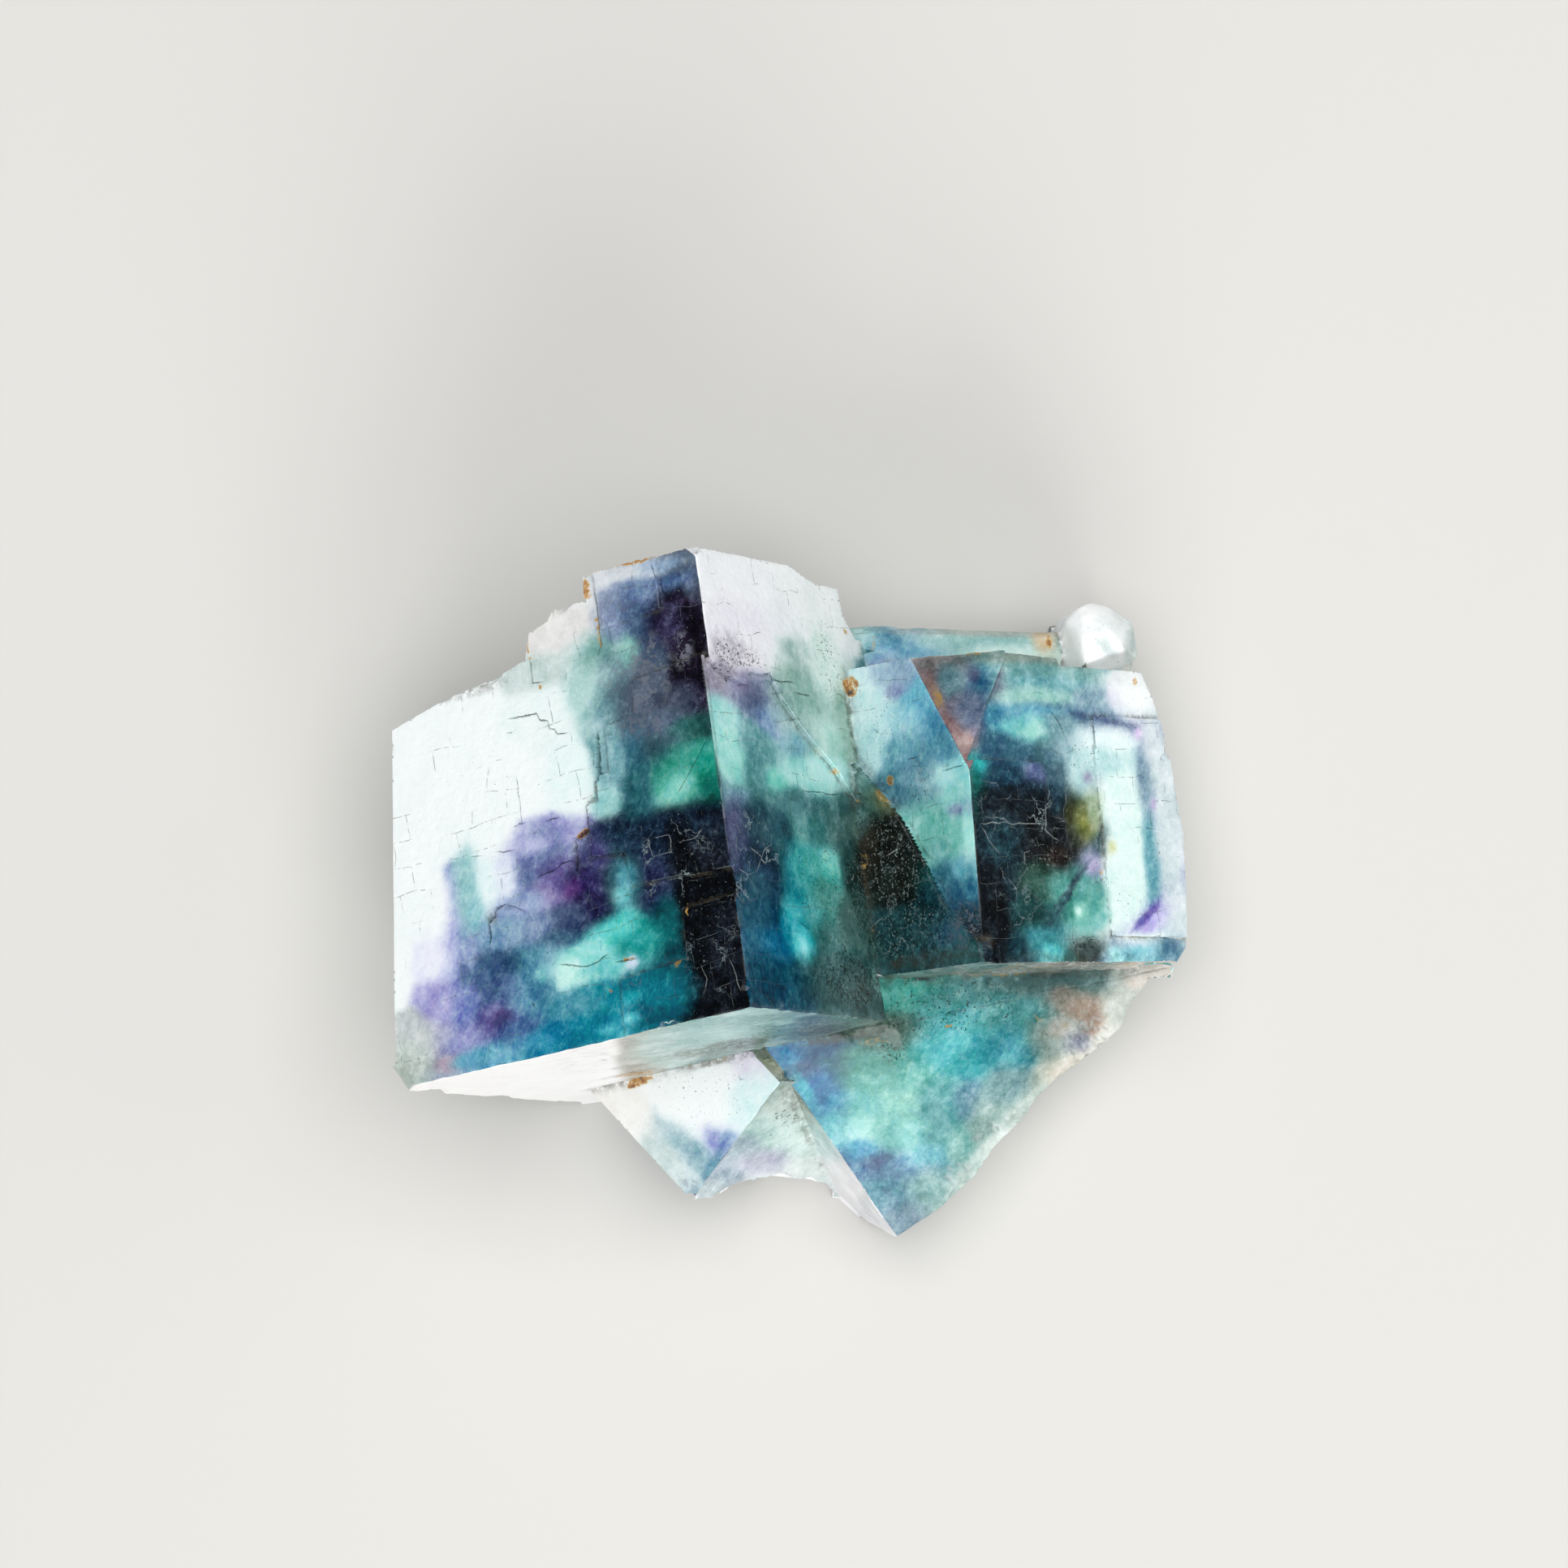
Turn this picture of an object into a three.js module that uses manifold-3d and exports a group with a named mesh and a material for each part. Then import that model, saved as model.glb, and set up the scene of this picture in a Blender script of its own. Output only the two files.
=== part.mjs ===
// Fluorite cluster: intergrown cubic crystals on a flat broken back.
// Millimetres, +Z up. The cluster lies on its broken back, crystal faces upwards.
import * as THREE from "three";
import { ConvexGeometry } from "three/addons/geometries/ConvexGeometry.js";
import { mergeVertices } from "three/addons/utils/BufferGeometryUtils.js";
import Module from "manifold-3d";

const wasm = await Module();
wasm.setup();

// ---- driving dimensions -------------------------------------------------------------
// A crystal frame sits on the crystal's front corner. Its x runs along the edge that
// goes back to the right, its y up the vertical edge, its z out of the right-hand face,
// so the solid fills x 0..width, y 0..height, z -depth..0.
const LEFT = { corner: [-1.33, -3.75, 17.7], turn: [-22.6, 57.2, 14.6], size: [16, 16.2, 15] };
const RIGHT = { corner: [6.5, -2.4, 13.3], turn: [-8.9, 41, 5.4], size: [11, 11.1, 14] };
const FRONT = { corner: [-3.6, -11.08, 5.4], turn: [64, 40.7, -44], size: [9, 6.1, 8] };
const REAR = { corner: [0.9, -1, 8.6], turn: [-11, 10, 0.4], size: [9, 10.9, 6.5] };

// Broken outlines, [across, up] in mm on a crystal face; what lies outside is split away.
const LEFT_SHOULDER = [[-4.5, 16.3], [-4.6, 15.35], [-5.9, 15.3], [-6.2, 14.95], [-7, 14.75],
  [-7.3, 13.85], [-8.5, 13.5], [-10.8, 13.2], [-13.2, 12.6], [-14, 7], [-14.9, 0.9]];
const LEFT_SADDLE = [[4.9, 16.3], [6, 16.25], [7.1, 15.9], [7.9, 15.7], [9.4, 15.7], [9.55, 14.7],
  [10.2, 13.9]];
const RIGHT_BROW = [[2.4, 11], [4.8, 10.85], [4.9, 10.6], [8.5, 10.45], [8.9, 10.4], [9.4, 9.4],
  [9.85, 7.9], [10.35, 4.2], [10.1, 0]];

// Growth layers left standing on a face: outline [across, up] on it, and thickness.
const LAYERS = [
  { on: LEFT, side: "left", rise: 0.16, line: [[0, 12.4], [-3, 12.1], [-3.1, 10.9], [-4.3, 10.8],
    [-4.4, 9.2], [-4.95, 9.1], [-5, 8.3], [-5.5, 8.2], [-5.6, 6.4], [-4.2, 6.2], [-4.1, 5.1], [0, 4.9]] },
  { on: LEFT, side: "left", rise: 0.14, line: [[0, 4], [-2.2, 3.9], [-2.3, 2.2], [-5.1, 2], [-5.2, 0],
    [0, 0]] },
  { on: LEFT, side: "left", rise: 0.2, line: [[-1.3, 18], [-1.4, 14.3], [-3.9, 14.1], [-4, 18]] },
  { on: LEFT, side: "right", rise: 0.2, line: [[0, 12.2], [0.9, 11.7], [2.3, 11.45], [2.5, 11.9],
    [3.9, 11.95], [4.5, 11.2], [5.6, 10.2], [6.6, 9.5], [7.5, 8.95], [8.1, 8.3], [8.8, 7.6], [12, 7.4],
    [12, 18], [0, 18]] },
  { on: RIGHT, side: "left", rise: 0.4, line: [[-9, 8.1], [-6.1, 8.05], [-5.3, 7.6], [-4.4, 6.7], [-3.4, 5.7],
    [-2.9, 5.05], [-2.4, 4.2], [-2.1, 3.75], [-1.3, 2.3], [-0.4, 1.4], [0.45, 0.6], [0.45, 0], [-9, 0]] },
  { on: RIGHT, side: "right", rise: 0.18, line: [[0, 7.2], [3.6, 7.1], [3.7, 5.2], [4.5, 5.1], [4.6, 0],
    [0, 0]] },
  { on: RIGHT, side: "right", rise: 0.07, line: [[6.2, 8.8], [11, 8.7], [11, 0.8], [6.4, 0.9]] },
];

// The low front-right crystal: its tip, the ridge up its left side, the two upper facets
// and the foot that the flat back cuts off.
const SPUR = [[3.75, -12.5, 4], [-0.97, -5.45, 8.3], [3.54, -4.69, 7.9], [5.66, -8.17, 5.7],
  [4.4, -12.1, 3.9], [6.95, -10.35, 4.3], [8.5, -8.8, 4], [11.2, -6, 3.4], [12.15, -5.2, 3.2],
  [12.6, -4.2, 3.2], [13.75, -3.1, 3.6], [13.8, -2.7, 4], [12.6, 0, 4.4], [0, 0, 9.4],
  [3.25, -12.4, 0.2], [2.45, -11.95, 0], [1.35, -10.95, 0], [0, -9.3, 0], [-2, -5, 0],
  [6.3, -9.9, 0.3], [11.4, -4.6, 0.2], [9, 2, 0]];

// Wedge that carries the small front crystal's right face down to the foot.
const TOE = [[-3.55, -11.03, 5.36], [0.2, -5.85, 8.55], [1.3, -10.8, 0], [1.85, -11.3, 0], [-1.8, -10.75, 0],
  [2, -8, 0]];

// Small crystals that back the large ones up: centre, edge lengths, turn.
const FILLERS = [
  { at: [-8.6, -0.6, 3.4], size: [6.4, 7.4, 6.2], turn: [14, 22, 31] },
  { at: [-5.8, 6.3, 2.6], size: [6, 5, 6], turn: [-12, 35, 8] },
  { at: [9.3, 3.1, 2.3], size: [6.2, 6.6, 5.4], turn: [20, -14, 24] },
  { at: [4.2, 5.4, 2.4], size: [8, 6.4, 6], turn: [8, 16, -12] },
  { at: [3.2, -1.6, 3], size: [10, 6, 6], turn: [0, 6, 8] },
];

// Pale broken crystal at the upper right: its rim, its worn front facets, its foot.
const KNOB = [[9.6, 9.65, 5.6], [10.15, 10.25, 5.8], [10.65, 10.5, 5.2], [11.35, 10.3, 5.4], [12.3, 9.7, 5.2],
  [12.45, 9.1, 4.6], [12.5, 8.3, 4.9], [10.2, 9.2, 6.7], [11.3, 9.5, 6.9], [11.9, 8.6, 6.7], [10.4, 8.1, 7],
  [9.4, 9.6, 0], [11, 9.8, 0], [11.9, 8.6, 0], [11.4, 6, 0], [8.6, 6, 0]];

// Plates left standing on the faces turned away: how many, how thick, seed.
const TERRACES = [
  { on: LEFT, side: "top", count: 5, rise: [0.1, 0.3], seed: 3 },
  { on: LEFT, side: "farLeft", count: 6, rise: [0.1, 0.3], seed: 8 },
  { on: RIGHT, side: "top", count: 4, rise: [0.1, 0.25], seed: 14 },
  { on: RIGHT, side: "under", count: 3, rise: [0.06, 0.12], seed: 2 },
];

// Broken outlines seen from above, [x, y]; what lies outside them is split away: below the
// small front crystal's foot, and along the spur's right side.
const GROUND = { corner: [0, 0, 0], turn: [0, 0, 0], size: [0, 0, 0] };
const FOOT_BREAK = [[-3.05, -11.3], [-2.75, -10.93], [-2.35, -10.7], [-1.95, -10.54], [-1.4, -10.4],
  [-0.8, -10.34], [-0.3, -10.38], [0.15, -10.5], [0.7, -10.57], [1.22, -10.7], [1.45, -10.95],
  [1.5, -13.5], [-3.1, -13.5]];
const SPUR_BREAK = [[5.2, -11.6], [5.65, -11.15], [6.1, -10.75], [6.55, -10.3], [6.95, -9.7], [7.3, -9.2],
  [7.75, -8.8], [8.15, -8.45], [8.5, -7.95], [8.8, -7.45], [9.15, -7.05], [9.6, -6.65], [10.2, -6.3],
  [10.65, -6], [11.1, -5.7], [11.6, -5.25], [11.9, -4.85], [12.1, -4.35], [12.25, -3.95], [12.65, -3.5],
  [12.9, -3.2], [13.6, -3.12], [15, -4], [15, -14], [5.2, -14]];

// Rows of conchoidal bites along broken edges: the row's ends, which way is out, how many,
// how large and how deep they bite.
const BITES = [
  { from: [-4.2, 12, 14.2], to: [-6.9, 11.3, 12.9], out: [-0.1, 0.9, 0.3],
    count: 2, size: 1.6, deep: 0.16, seed: 31 },
  { from: [-1.8, 12, 12.6], to: [0.9, 11.3, 8.1], out: [0.2, 0.9, 0.2],
    count: 3, size: 1.3, deep: 0.16, seed: 17 },
  { from: [12.7, 7.6, 6.6], to: [14.3, 1, 6.3], out: [1, 0.1, 0.1],
    count: 4, size: 1.9, deep: 0.2, seed: 12 },
  { from: [-13.2, -6.9, 9.9], to: [-9, -7.6, 2.8], out: [-0.6, -0.7, 0],
    count: 3, size: 1.5, deep: 0.2, seed: 6 },
];

// Cube corners of this mineral split across the corner, so a chip looks outwards evenly.
const CHIP = 0.35;

// ---- helpers ------------------------------------------------------------------------
const rad = THREE.MathUtils.degToRad;
const V = (p) => new THREE.Vector3(...p);

function placed(corner, turn) {
  const spin = new THREE.Quaternion().setFromEuler(new THREE.Euler(...turn.map(rad), "XYZ"));
  return new THREE.Matrix4().compose(V(corner), spin, V([1, 1, 1]));
}

function random(seed) {
  let s = seed >>> 0;
  return () => ((s = (Math.imul(s, 1664525) + 1013904223) >>> 0) / 4294967296);
}

function solid(geometry) {
  const g = geometry.clone();
  g.deleteAttribute("normal");
  g.deleteAttribute("uv");
  const m = mergeVertices(g, 1e-5);
  return new wasm.Manifold(new wasm.Mesh({
    numProp: 3,
    vertProperties: new Float32Array(m.attributes.position.array),
    triVerts: new Uint32Array(m.index.array),
  }));
}

function block(frame, lo, hi) {
  const g = new THREE.BoxGeometry(hi[0] - lo[0], hi[1] - lo[1], hi[2] - lo[2]);
  g.translate((lo[0] + hi[0]) / 2, (lo[1] + hi[1]) / 2, (lo[2] + hi[2]) / 2);
  return solid(g.applyMatrix4(frame));
}

// Prism of an outline [across, up] on one face of a crystal; from and to are measured
// outwards from that face. Across is z on the left face, x on the right and top ones.
function prism(crystal, side, line, from, to) {
  const g = new THREE.ExtrudeGeometry(new THREE.Shape(line.map((p) => new THREE.Vector2(...p))),
    { depth: to - from, bevelEnabled: false });
  g.translate(0, 0, from);
  const [, h, d] = crystal.size;
  if (side === "left") g.rotateY(-Math.PI / 2);
  if (side === "top") g.rotateX(-Math.PI / 2).translate(0, h, 0);
  if (side === "under") g.rotateX(Math.PI / 2).translate(0, 0, -d);
  if (side === "farLeft") g.rotateY(Math.PI).translate(crystal.size[0], 0, -d);
  return solid(g.applyMatrix4(placed(crystal.corner, crystal.turn)));
}

// Right-angled plates scattered over a face, each a corner-stepped rectangle.
function terraces({ on, side, count, rise, seed }) {
  const roll = random(seed);
  const [w, h, d] = on.size;
  const [W, H] = side === "farLeft" ? [w, h] : [w, d];
  const plates = [];
  for (let i = 0; i < count; i++) {
    const a = W * (0.05 + 0.5 * roll()), b = H * (0.05 + 0.5 * roll());
    const p = W * (0.15 + 0.2 * roll()), q = H * (0.15 + 0.25 * roll());
    const line = [[a, b], [a + p, b], [a + p, b + 0.6 * q], [a + 0.55 * p, b + 0.6 * q],
      [a + 0.55 * p, b + q], [a, b + q]];
    plates.push(prism(on, side, line, -0.3, rise[0] + (rise[1] - rise[0]) * roll()));
  }
  return plates;
}

// A crystal's block with its growth layers and plates on it.
function layered(crystal) {
  const [w, h, d] = crystal.size;
  let body = block(placed(crystal.corner, crystal.turn), [0, 0, -d], [w, h, 0]);
  for (const { side, rise, line } of LAYERS.filter((l) => l.on === crystal)) {
    body = body.add(prism(crystal, side, line, -0.3, rise));
  }
  body = body.subtract(beyondIn(crystal, [0, h, 0], [0, 1, 0]));
  body = body.subtract(beyondIn(crystal, [0, 0, 0], [0, -1, 0]));
  for (const t of TERRACES.filter((t) => t.on === crystal)) {
    for (const plate of terraces(t)) body = body.add(plate);
  }
  return body;
}

// Everything past a plane, as a large block, for splitting a solid.
function beyond(point, normal) {
  const spin = new THREE.Quaternion().setFromUnitVectors(V([0, 0, 1]), V(normal).normalize());
  const frame = new THREE.Matrix4().compose(V(point), spin, V([1, 1, 1]));
  return block(frame, [-60, -60, 0], [60, 60, 60]);
}

function beyondIn(crystal, at, normal) {
  const frame = placed(crystal.corner, crystal.turn);
  return beyond(V(at).applyMatrix4(frame).toArray(), V(normal).transformDirection(frame).toArray());
}

// A cube corner split off, [x, y, z] signs of the corner in the crystal's own frame.
function chipped(body, crystal, at, signs, deep) {
  const point = V(at).addScaledVector(V(signs).normalize(), -deep);
  return body.subtract(beyondIn(crystal, point.toArray(), signs));
}

function lump({ at, radii, seed, points: n }) {
  const roll = random(seed);
  const points = [];
  for (let i = 0; i < n; i++) {
    const h = 1 - (2 * (i + 0.5)) / n, a = i * 2.39996, r = Math.sqrt(1 - h * h);
    const out = 0.86 + 0.2 * roll();
    points.push(V([at[0] + radii[0] * out * r * Math.cos(a), at[1] + radii[1] * out * r * Math.sin(a),
      at[2] + radii[2] * out * h]));
  }
  return solid(new ConvexGeometry(points));
}

// A row of bites, each a lump pushed into the edge from outside.
function bitten(body, { from, to, out, count, size, deep, seed }) {
  const roll = random(seed);
  const away = V(out).normalize();
  for (let i = 0; i < count; i++) {
    const r = size * (0.6 + 0.8 * roll());
    const at = V(from).lerp(V(to), (i + 0.2 + 0.6 * roll()) / count);
    at.addScaledVector(away, r - deep * (0.5 + roll()));
    const bite = { at: at.toArray(), radii: [r, r * 0.9, r * 1.1], seed: seed * 100 + i, points: 22 };
    body = body.subtract(lump(bite));
  }
  return body;
}

// ---- large left crystal, its shoulder and saddle split away in steps ------------------
function leftCrystal() {
  const [, h, d] = LEFT.size;
  let body = layered(LEFT);
  const shoulder = [...LEFT_SHOULDER, [-18, 0.5], [-18, 20], [-4.5, 20]];
  body = body.subtract(prism(LEFT, "left", shoulder, -30, 1));
  const saddle = [...LEFT_SADDLE, [18, 13], [18, 20], [4.9, 20]];
  body = body.subtract(prism(LEFT, "right", saddle, -30, 1));
  body = body.subtract(prism(LEFT, "right", [[9.15, -1], [18, -1], [18, 2.3], [8.7, 2.3]], -5, 1));
  body = chipped(body, LEFT, [0, 0, -d], [-1, -1, -1], 0.5);
  return chipped(body, LEFT, [0, h, 0], [-1, 1, 1], 0.12);
}

// ---- right crystal: its top front corner is split off in a long triangle --------------
function rightCrystal() {
  const [, h] = RIGHT.size;
  const frame = placed(RIGHT.corner, RIGHT.turn);
  let body = layered(RIGHT);
  const brow = [...RIGHT_BROW, [10.1, -2], [16, -2], [16, 14], [2.4, 14]];
  body = body.subtract(prism(RIGHT, "right", brow, -30, 1));
  const split = [[0, h, -2.5], [0, 7, 0], [2.45, h, 0]].map((p) => V(p).applyMatrix4(frame));
  const normal = split[1].clone().sub(split[0]).cross(split[2].clone().sub(split[0])).normalize();
  body = body.subtract(beyond(split[0].toArray(), normal.toArray()));
  return chipped(body, RIGHT, [10.1, 0, 0], [1, -1, 1], CHIP);
}

// ---- crystal behind the right one, its upper edge bevelled ---------------------------
function rearCrystal() {
  const [w, h, d] = REAR.size;
  const body = block(placed(REAR.corner, REAR.turn), [0, 0, -d], [w, h, 0]);
  return body.subtract(beyondIn(REAR, [0, h - 0.35, 0], [0, 0.8, 0.6]));
}

// ---- small front crystal, its upper end hidden behind the spur's ridge ----------------
function frontCrystal() {
  const [w, h, d] = FRONT.size;
  const body = block(placed(FRONT.corner, FRONT.turn), [0, 0, -d], [w, h, 0]);
  const toe = hull(TOE).subtract(beyondIn(FRONT, [0, h, 0], [0, 1, 0]));
  return chipped(body, FRONT, [0, 0, 0], [-1, -1, 1], 0.2).add(toe);
}

function hull(points) {
  return solid(new ConvexGeometry(points.map(V)));
}

function filler({ at, size, turn }) {
  const [w, h, d] = size.map((s) => s / 2);
  return block(placed(at, turn), [-w, -h, -d], [w, h, d]);
}

// ---- cluster --------------------------------------------------------------------------
function cluster() {
  let body = leftCrystal();
  for (const part of [rightCrystal(), rearCrystal(), frontCrystal(), hull(SPUR), hull(KNOB),
    ...FILLERS.map(filler)]) {
    body = body.add(part);
  }
  for (const line of [FOOT_BREAK, SPUR_BREAK]) body = body.subtract(prism(GROUND, "right", line, -1, 6));
  for (const row of BITES) body = bitten(body, row);
  body = body.subtract(beyond([0, 0, 0], [0, 0, -1]));
  // The largest shell is the outside; closed gaps left between crystals are dropped.
  return body.decompose().reduce((a, b) => (b.volume() > a.volume() ? b : a));
}

function mesh(name, body, material) {
  const out = body.getMesh();
  const g = new THREE.BufferGeometry();
  g.setAttribute("position", new THREE.BufferAttribute(new Float32Array(out.vertProperties), 3));
  g.setIndex(new THREE.BufferAttribute(new Uint32Array(out.triVerts), 1));
  g.computeBoundingBox();
  const middle = g.boundingBox.getCenter(new THREE.Vector3());
  g.translate(-middle.x, -middle.y, -g.boundingBox.min.z);
  g.computeVertexNormals();
  const node = new THREE.Mesh(g, material);
  node.name = name;
  return node;
}

const part = new THREE.Group();
part.name = "fluorite_cluster_part";
part.add(mesh("fluorite_cluster", cluster(),
  new THREE.MeshStandardMaterial({ color: 0x6fb9bd, roughness: 0.25, metalness: 0 })));

export default part;
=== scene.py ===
import math

import bmesh
import bpy
import numpy as np
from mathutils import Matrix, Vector
from mathutils.geometry import delaunay_2d_cdt


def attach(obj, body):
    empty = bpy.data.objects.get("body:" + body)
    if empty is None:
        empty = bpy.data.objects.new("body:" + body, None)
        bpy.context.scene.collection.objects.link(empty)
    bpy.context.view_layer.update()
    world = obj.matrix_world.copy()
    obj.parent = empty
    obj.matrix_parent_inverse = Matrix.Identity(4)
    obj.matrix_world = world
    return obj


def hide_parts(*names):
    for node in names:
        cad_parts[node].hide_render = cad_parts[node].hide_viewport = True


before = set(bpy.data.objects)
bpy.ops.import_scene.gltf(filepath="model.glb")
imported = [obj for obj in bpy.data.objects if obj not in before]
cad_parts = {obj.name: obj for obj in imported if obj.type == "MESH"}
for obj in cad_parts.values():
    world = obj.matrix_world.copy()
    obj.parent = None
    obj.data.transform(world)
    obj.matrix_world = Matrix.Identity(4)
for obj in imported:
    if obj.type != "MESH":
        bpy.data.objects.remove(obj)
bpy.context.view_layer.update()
scene = bpy.context.scene
MM = 0.001


# ---- Camera ---------------------------------------------------------------------------
# The cluster lies on its broken back and is looked at from straight above, from about
# 25 cm, as a small stone is looked at through a close-up lens.
camera = bpy.data.objects.new("camera", bpy.data.cameras.new("camera"))
camera.data.type = "PERSP"
camera.data.sensor_width, camera.data.lens = 36, 159.8
camera.data.clip_start, camera.data.clip_end = 0.01, 10
camera.location = (-0.0002693, 0.0040815, 0.254)
scene.collection.objects.link(camera)
scene.camera = camera


# ---- Large left crystal ---------------------------------------------------------------
# A cube of fluorite, calcium fluoride, standing on its corner edge. Colour lies in it in
# clouds and in blocks square to the cube, where the water it grew from changed. Its faces
# are lightly etched and cleavage has cracked them in right-angled steps.
ZONES, CRACKS, MARKS = {}, {}, {}
# A colour zone: [across, up] in mm on the face, half its width and height, colour, turn in
# degrees, and 2 for a rounded cloud or more for a squarer block.
ZONES["left_left"] = "f7fcfb", [
    (-9.6, 7.9, 0.5, 0.6, "f7fcfb"), (-12.4, 5.9, 0.5, 0.8, "f7fcfb"), (-9.2, 6.3, 0.3, 0.5, "e8eef8"),
    (-11.6, 8.5, 0.8, 0.6, "f7fcfb"), (-6.7, 11.7, 0.9, 0.7, "f0f9f7"), (-5.9, 9.2, 0.5, 0.8, "eefaf8"),
    (-4.6, 12.6, 1, 1.6, "b4d6d2"), (-5.2, 14.4, 1.5, 0.7, "e6e4e2"), (-4.1, 13.3, 1.1, 0.7, "93bdb8"),
    (-3.9, 10.6, 1, 1.6, "8ab4ba"), (-3.5, 12.3, 0.9, 1, "6f9aa0"), (-6.3, 13.3, 0.8, 0.4, "c9d8d4"),
    (-3.2, 14.5, 0.8, 0.8, "8c9cbc"), (-2.3, 14.6, 0.8, 1, "6a82ac"), (-2, 13.2, 0.8, 1.3, "4a5a80"),
    (-2.5, 11.5, 1.2, 1.3, "5c667e"), (-3, 13.2, 0.4, 0.5, "7fb9b0"),
    (-0.7, 12.8, 0.75, 2.5, "100a18", 0, 4), (-1.3, 13.8, 0.7, 0.7, "2a2440"),
    (-0.3, 15.1, 0.3, 0.5, "6a7896"), (-1, 15.2, 0.8, 0.3, "5f78a4"), (-2.8, 15.75, 1.6, 0.3, "d8dce0"),
    (-1.1, 15.8, 0.8, 0.25, "9fb4cc"), (-1.3, 10.9, 0.9, 0.7, "3a3f55"),
    (-2.2, 10.3, 1.2, 0.6, "566680"), (-3.3, 9.4, 0.7, 0.9, "4c8298"), (-2.2, 9.5, 0.8, 0.5, "4a6a78"),
    (-0.8, 10, 0.9, 0.4, "2f6a66"), (-4.2, 9.4, 0.5, 0.8, "8fbcc4"), (-1.3, 8.5, 1.3, 0.9, "54b4a0"),
    (-1.8, 8, 0.6, 0.4, "84d0c2"), (-0.45, 8.5, 0.45, 0.7, "229a82"), (-0.3, 7.6, 0.4, 0.4, "0f7060"),
    (-3.3, 8.3, 0.5, 0.8, "2c6874"), (-4.5, 8.3, 0.4, 0.35, "a4d4d2"),
    (-2.6, 6, 2.7, 1.2, "0f1c2e", 0, 6), (-4.3, 6.7, 0.8, 0.4, "22384e"), (-3.2, 5, 0.7, 1, "2a3050"),
    (-1.2, 3, 1.25, 3.6, "05070c", 0, 6), (-4.3, 5.4, 0.6, 0.7, "5aa4b2"),
    (-4.6, 4.8, 0.4, 0.3, "76c8ca"), (-2.9, 3.6, 0.5, 0.8, "0a5a62"), (-2.9, 2, 0.6, 0.8, "083c4a"),
    (-3.9, 1.2, 1.4, 0.9, "0d6a80"), (-5.6, 1.2, 1.3, 0.7, "2a98ac"), (-4.2, 3.1, 1, 0.7, "2ca49e"),
    (-5.2, 3.7, 0.9, 0.4, "5fd2ca"), (-6.5, 3.1, 0.9, 0.5, "8fdcd6"), (-7.4, 2.5, 0.9, 0.55, "c8f0e8"),
    (-5.6, 2.5, 0.9, 0.3, "7fd2d0"), (-4.6, 2.45, 0.3, 0.2, "ccdcec"), (-4.6, 1.35, 0.4, 0.2, "3fb4c0"),
    (-7.3, 1.4, 1, 0.5, "5fa8bc"), (-6.7, 0.6, 1.3, 0.4, "2590ac"), (-4.9, 0.55, 0.4, 0.2, "5cc4d0"),
    (-6.1, 0.35, 0.5, 0.15, "4fb8c8"), (-7.3, 6.5, 1.2, 0.9, "808cba"),
    (-7.8, 7.25, 0.8, 0.3, "b8bade"), (-6.9, 5.9, 0.9, 0.8, "6c5a9e"), (-7.8, 5.5, 0.5, 0.4, "7a6aa8"),
    (-6, 5.5, 0.7, 0.9, "2e2656"), (-6.5, 5.4, 0.4, 0.35, "5c2f78"), (-6, 4.8, 0.7, 0.5, "1e1c40"),
    (-5.3, 6.5, 0.5, 0.6, "4f4a84"), (-6.9, 4.5, 0.8, 0.5, "34406c"), (-6.3, 7.4, 0.5, 0.3, "a4a4d4"),
    (-8.6, 5.3, 0.9, 0.5, "a4b4d6"), (-8.3, 4.5, 0.8, 0.4, "7f94ba"), (-9.3, 4.6, 0.6, 0.4, "9fbcd2"),
    (-7.4, 3.8, 0.7, 0.3, "466a8c"), (-8.6, 3.4, 0.9, 0.4, "6aa4ba"), (-9, 2.4, 1, 0.8, "5590b2"),
    (-8.2, 2.8, 0.4, 0.3, "7cc0c8"), (-10.2, 3.4, 0.9, 0.6, "385884"), (-10.5, 2.6, 1.1, 0.6, "506a9c"),
    (-10.7, 1.6, 1, 0.5, "6f66a8"), (-10.1, 1.5, 0.45, 0.3, "4c3f7c"), (-9.4, 1.1, 0.8, 0.4, "4f70a8"),
    (-8.4, 0.7, 1, 0.35, "2f8cb4"), (-11.8, 2.3, 0.8, 0.7, "8c98d2"), (-12.6, 2.6, 0.6, 0.6, "b2aedc"),
    (-11.9, 1.2, 0.8, 0.4, "8c90c8"), (-12.9, 1.6, 0.6, 0.5, "b8b8d2"),
    (-13.6, 1.5, 0.7, 0.7, "c6cccc"), (-14.1, 0.8, 0.7, 0.6, "bcc8c0"),
    (-12.6, 0.5, 0.5, 0.3, "c4b0be"), (-11.5, 0.45, 0.9, 0.25, "6fb0cc"),
    (-12.5, 4.3, 0.3, 0.5, "e8e8f8"), (-11.8, 4.9, 0.15, 0.6, "aab0dc", -12),
    (-11, 4.3, 0.3, 0.7, "94a4ce", -12), (-10.9, 6.2, 0.3, 0.8, "a4d0d2", -8),
    (-10.7, 5.5, 0.3, 0.7, "a4d2d8", -8), (-10.1, 6.4, 0.3, 0.6, "ecf8f8"),
    (-9.9, 4.3, 0.4, 0.3, "86a8ca")]
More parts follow.
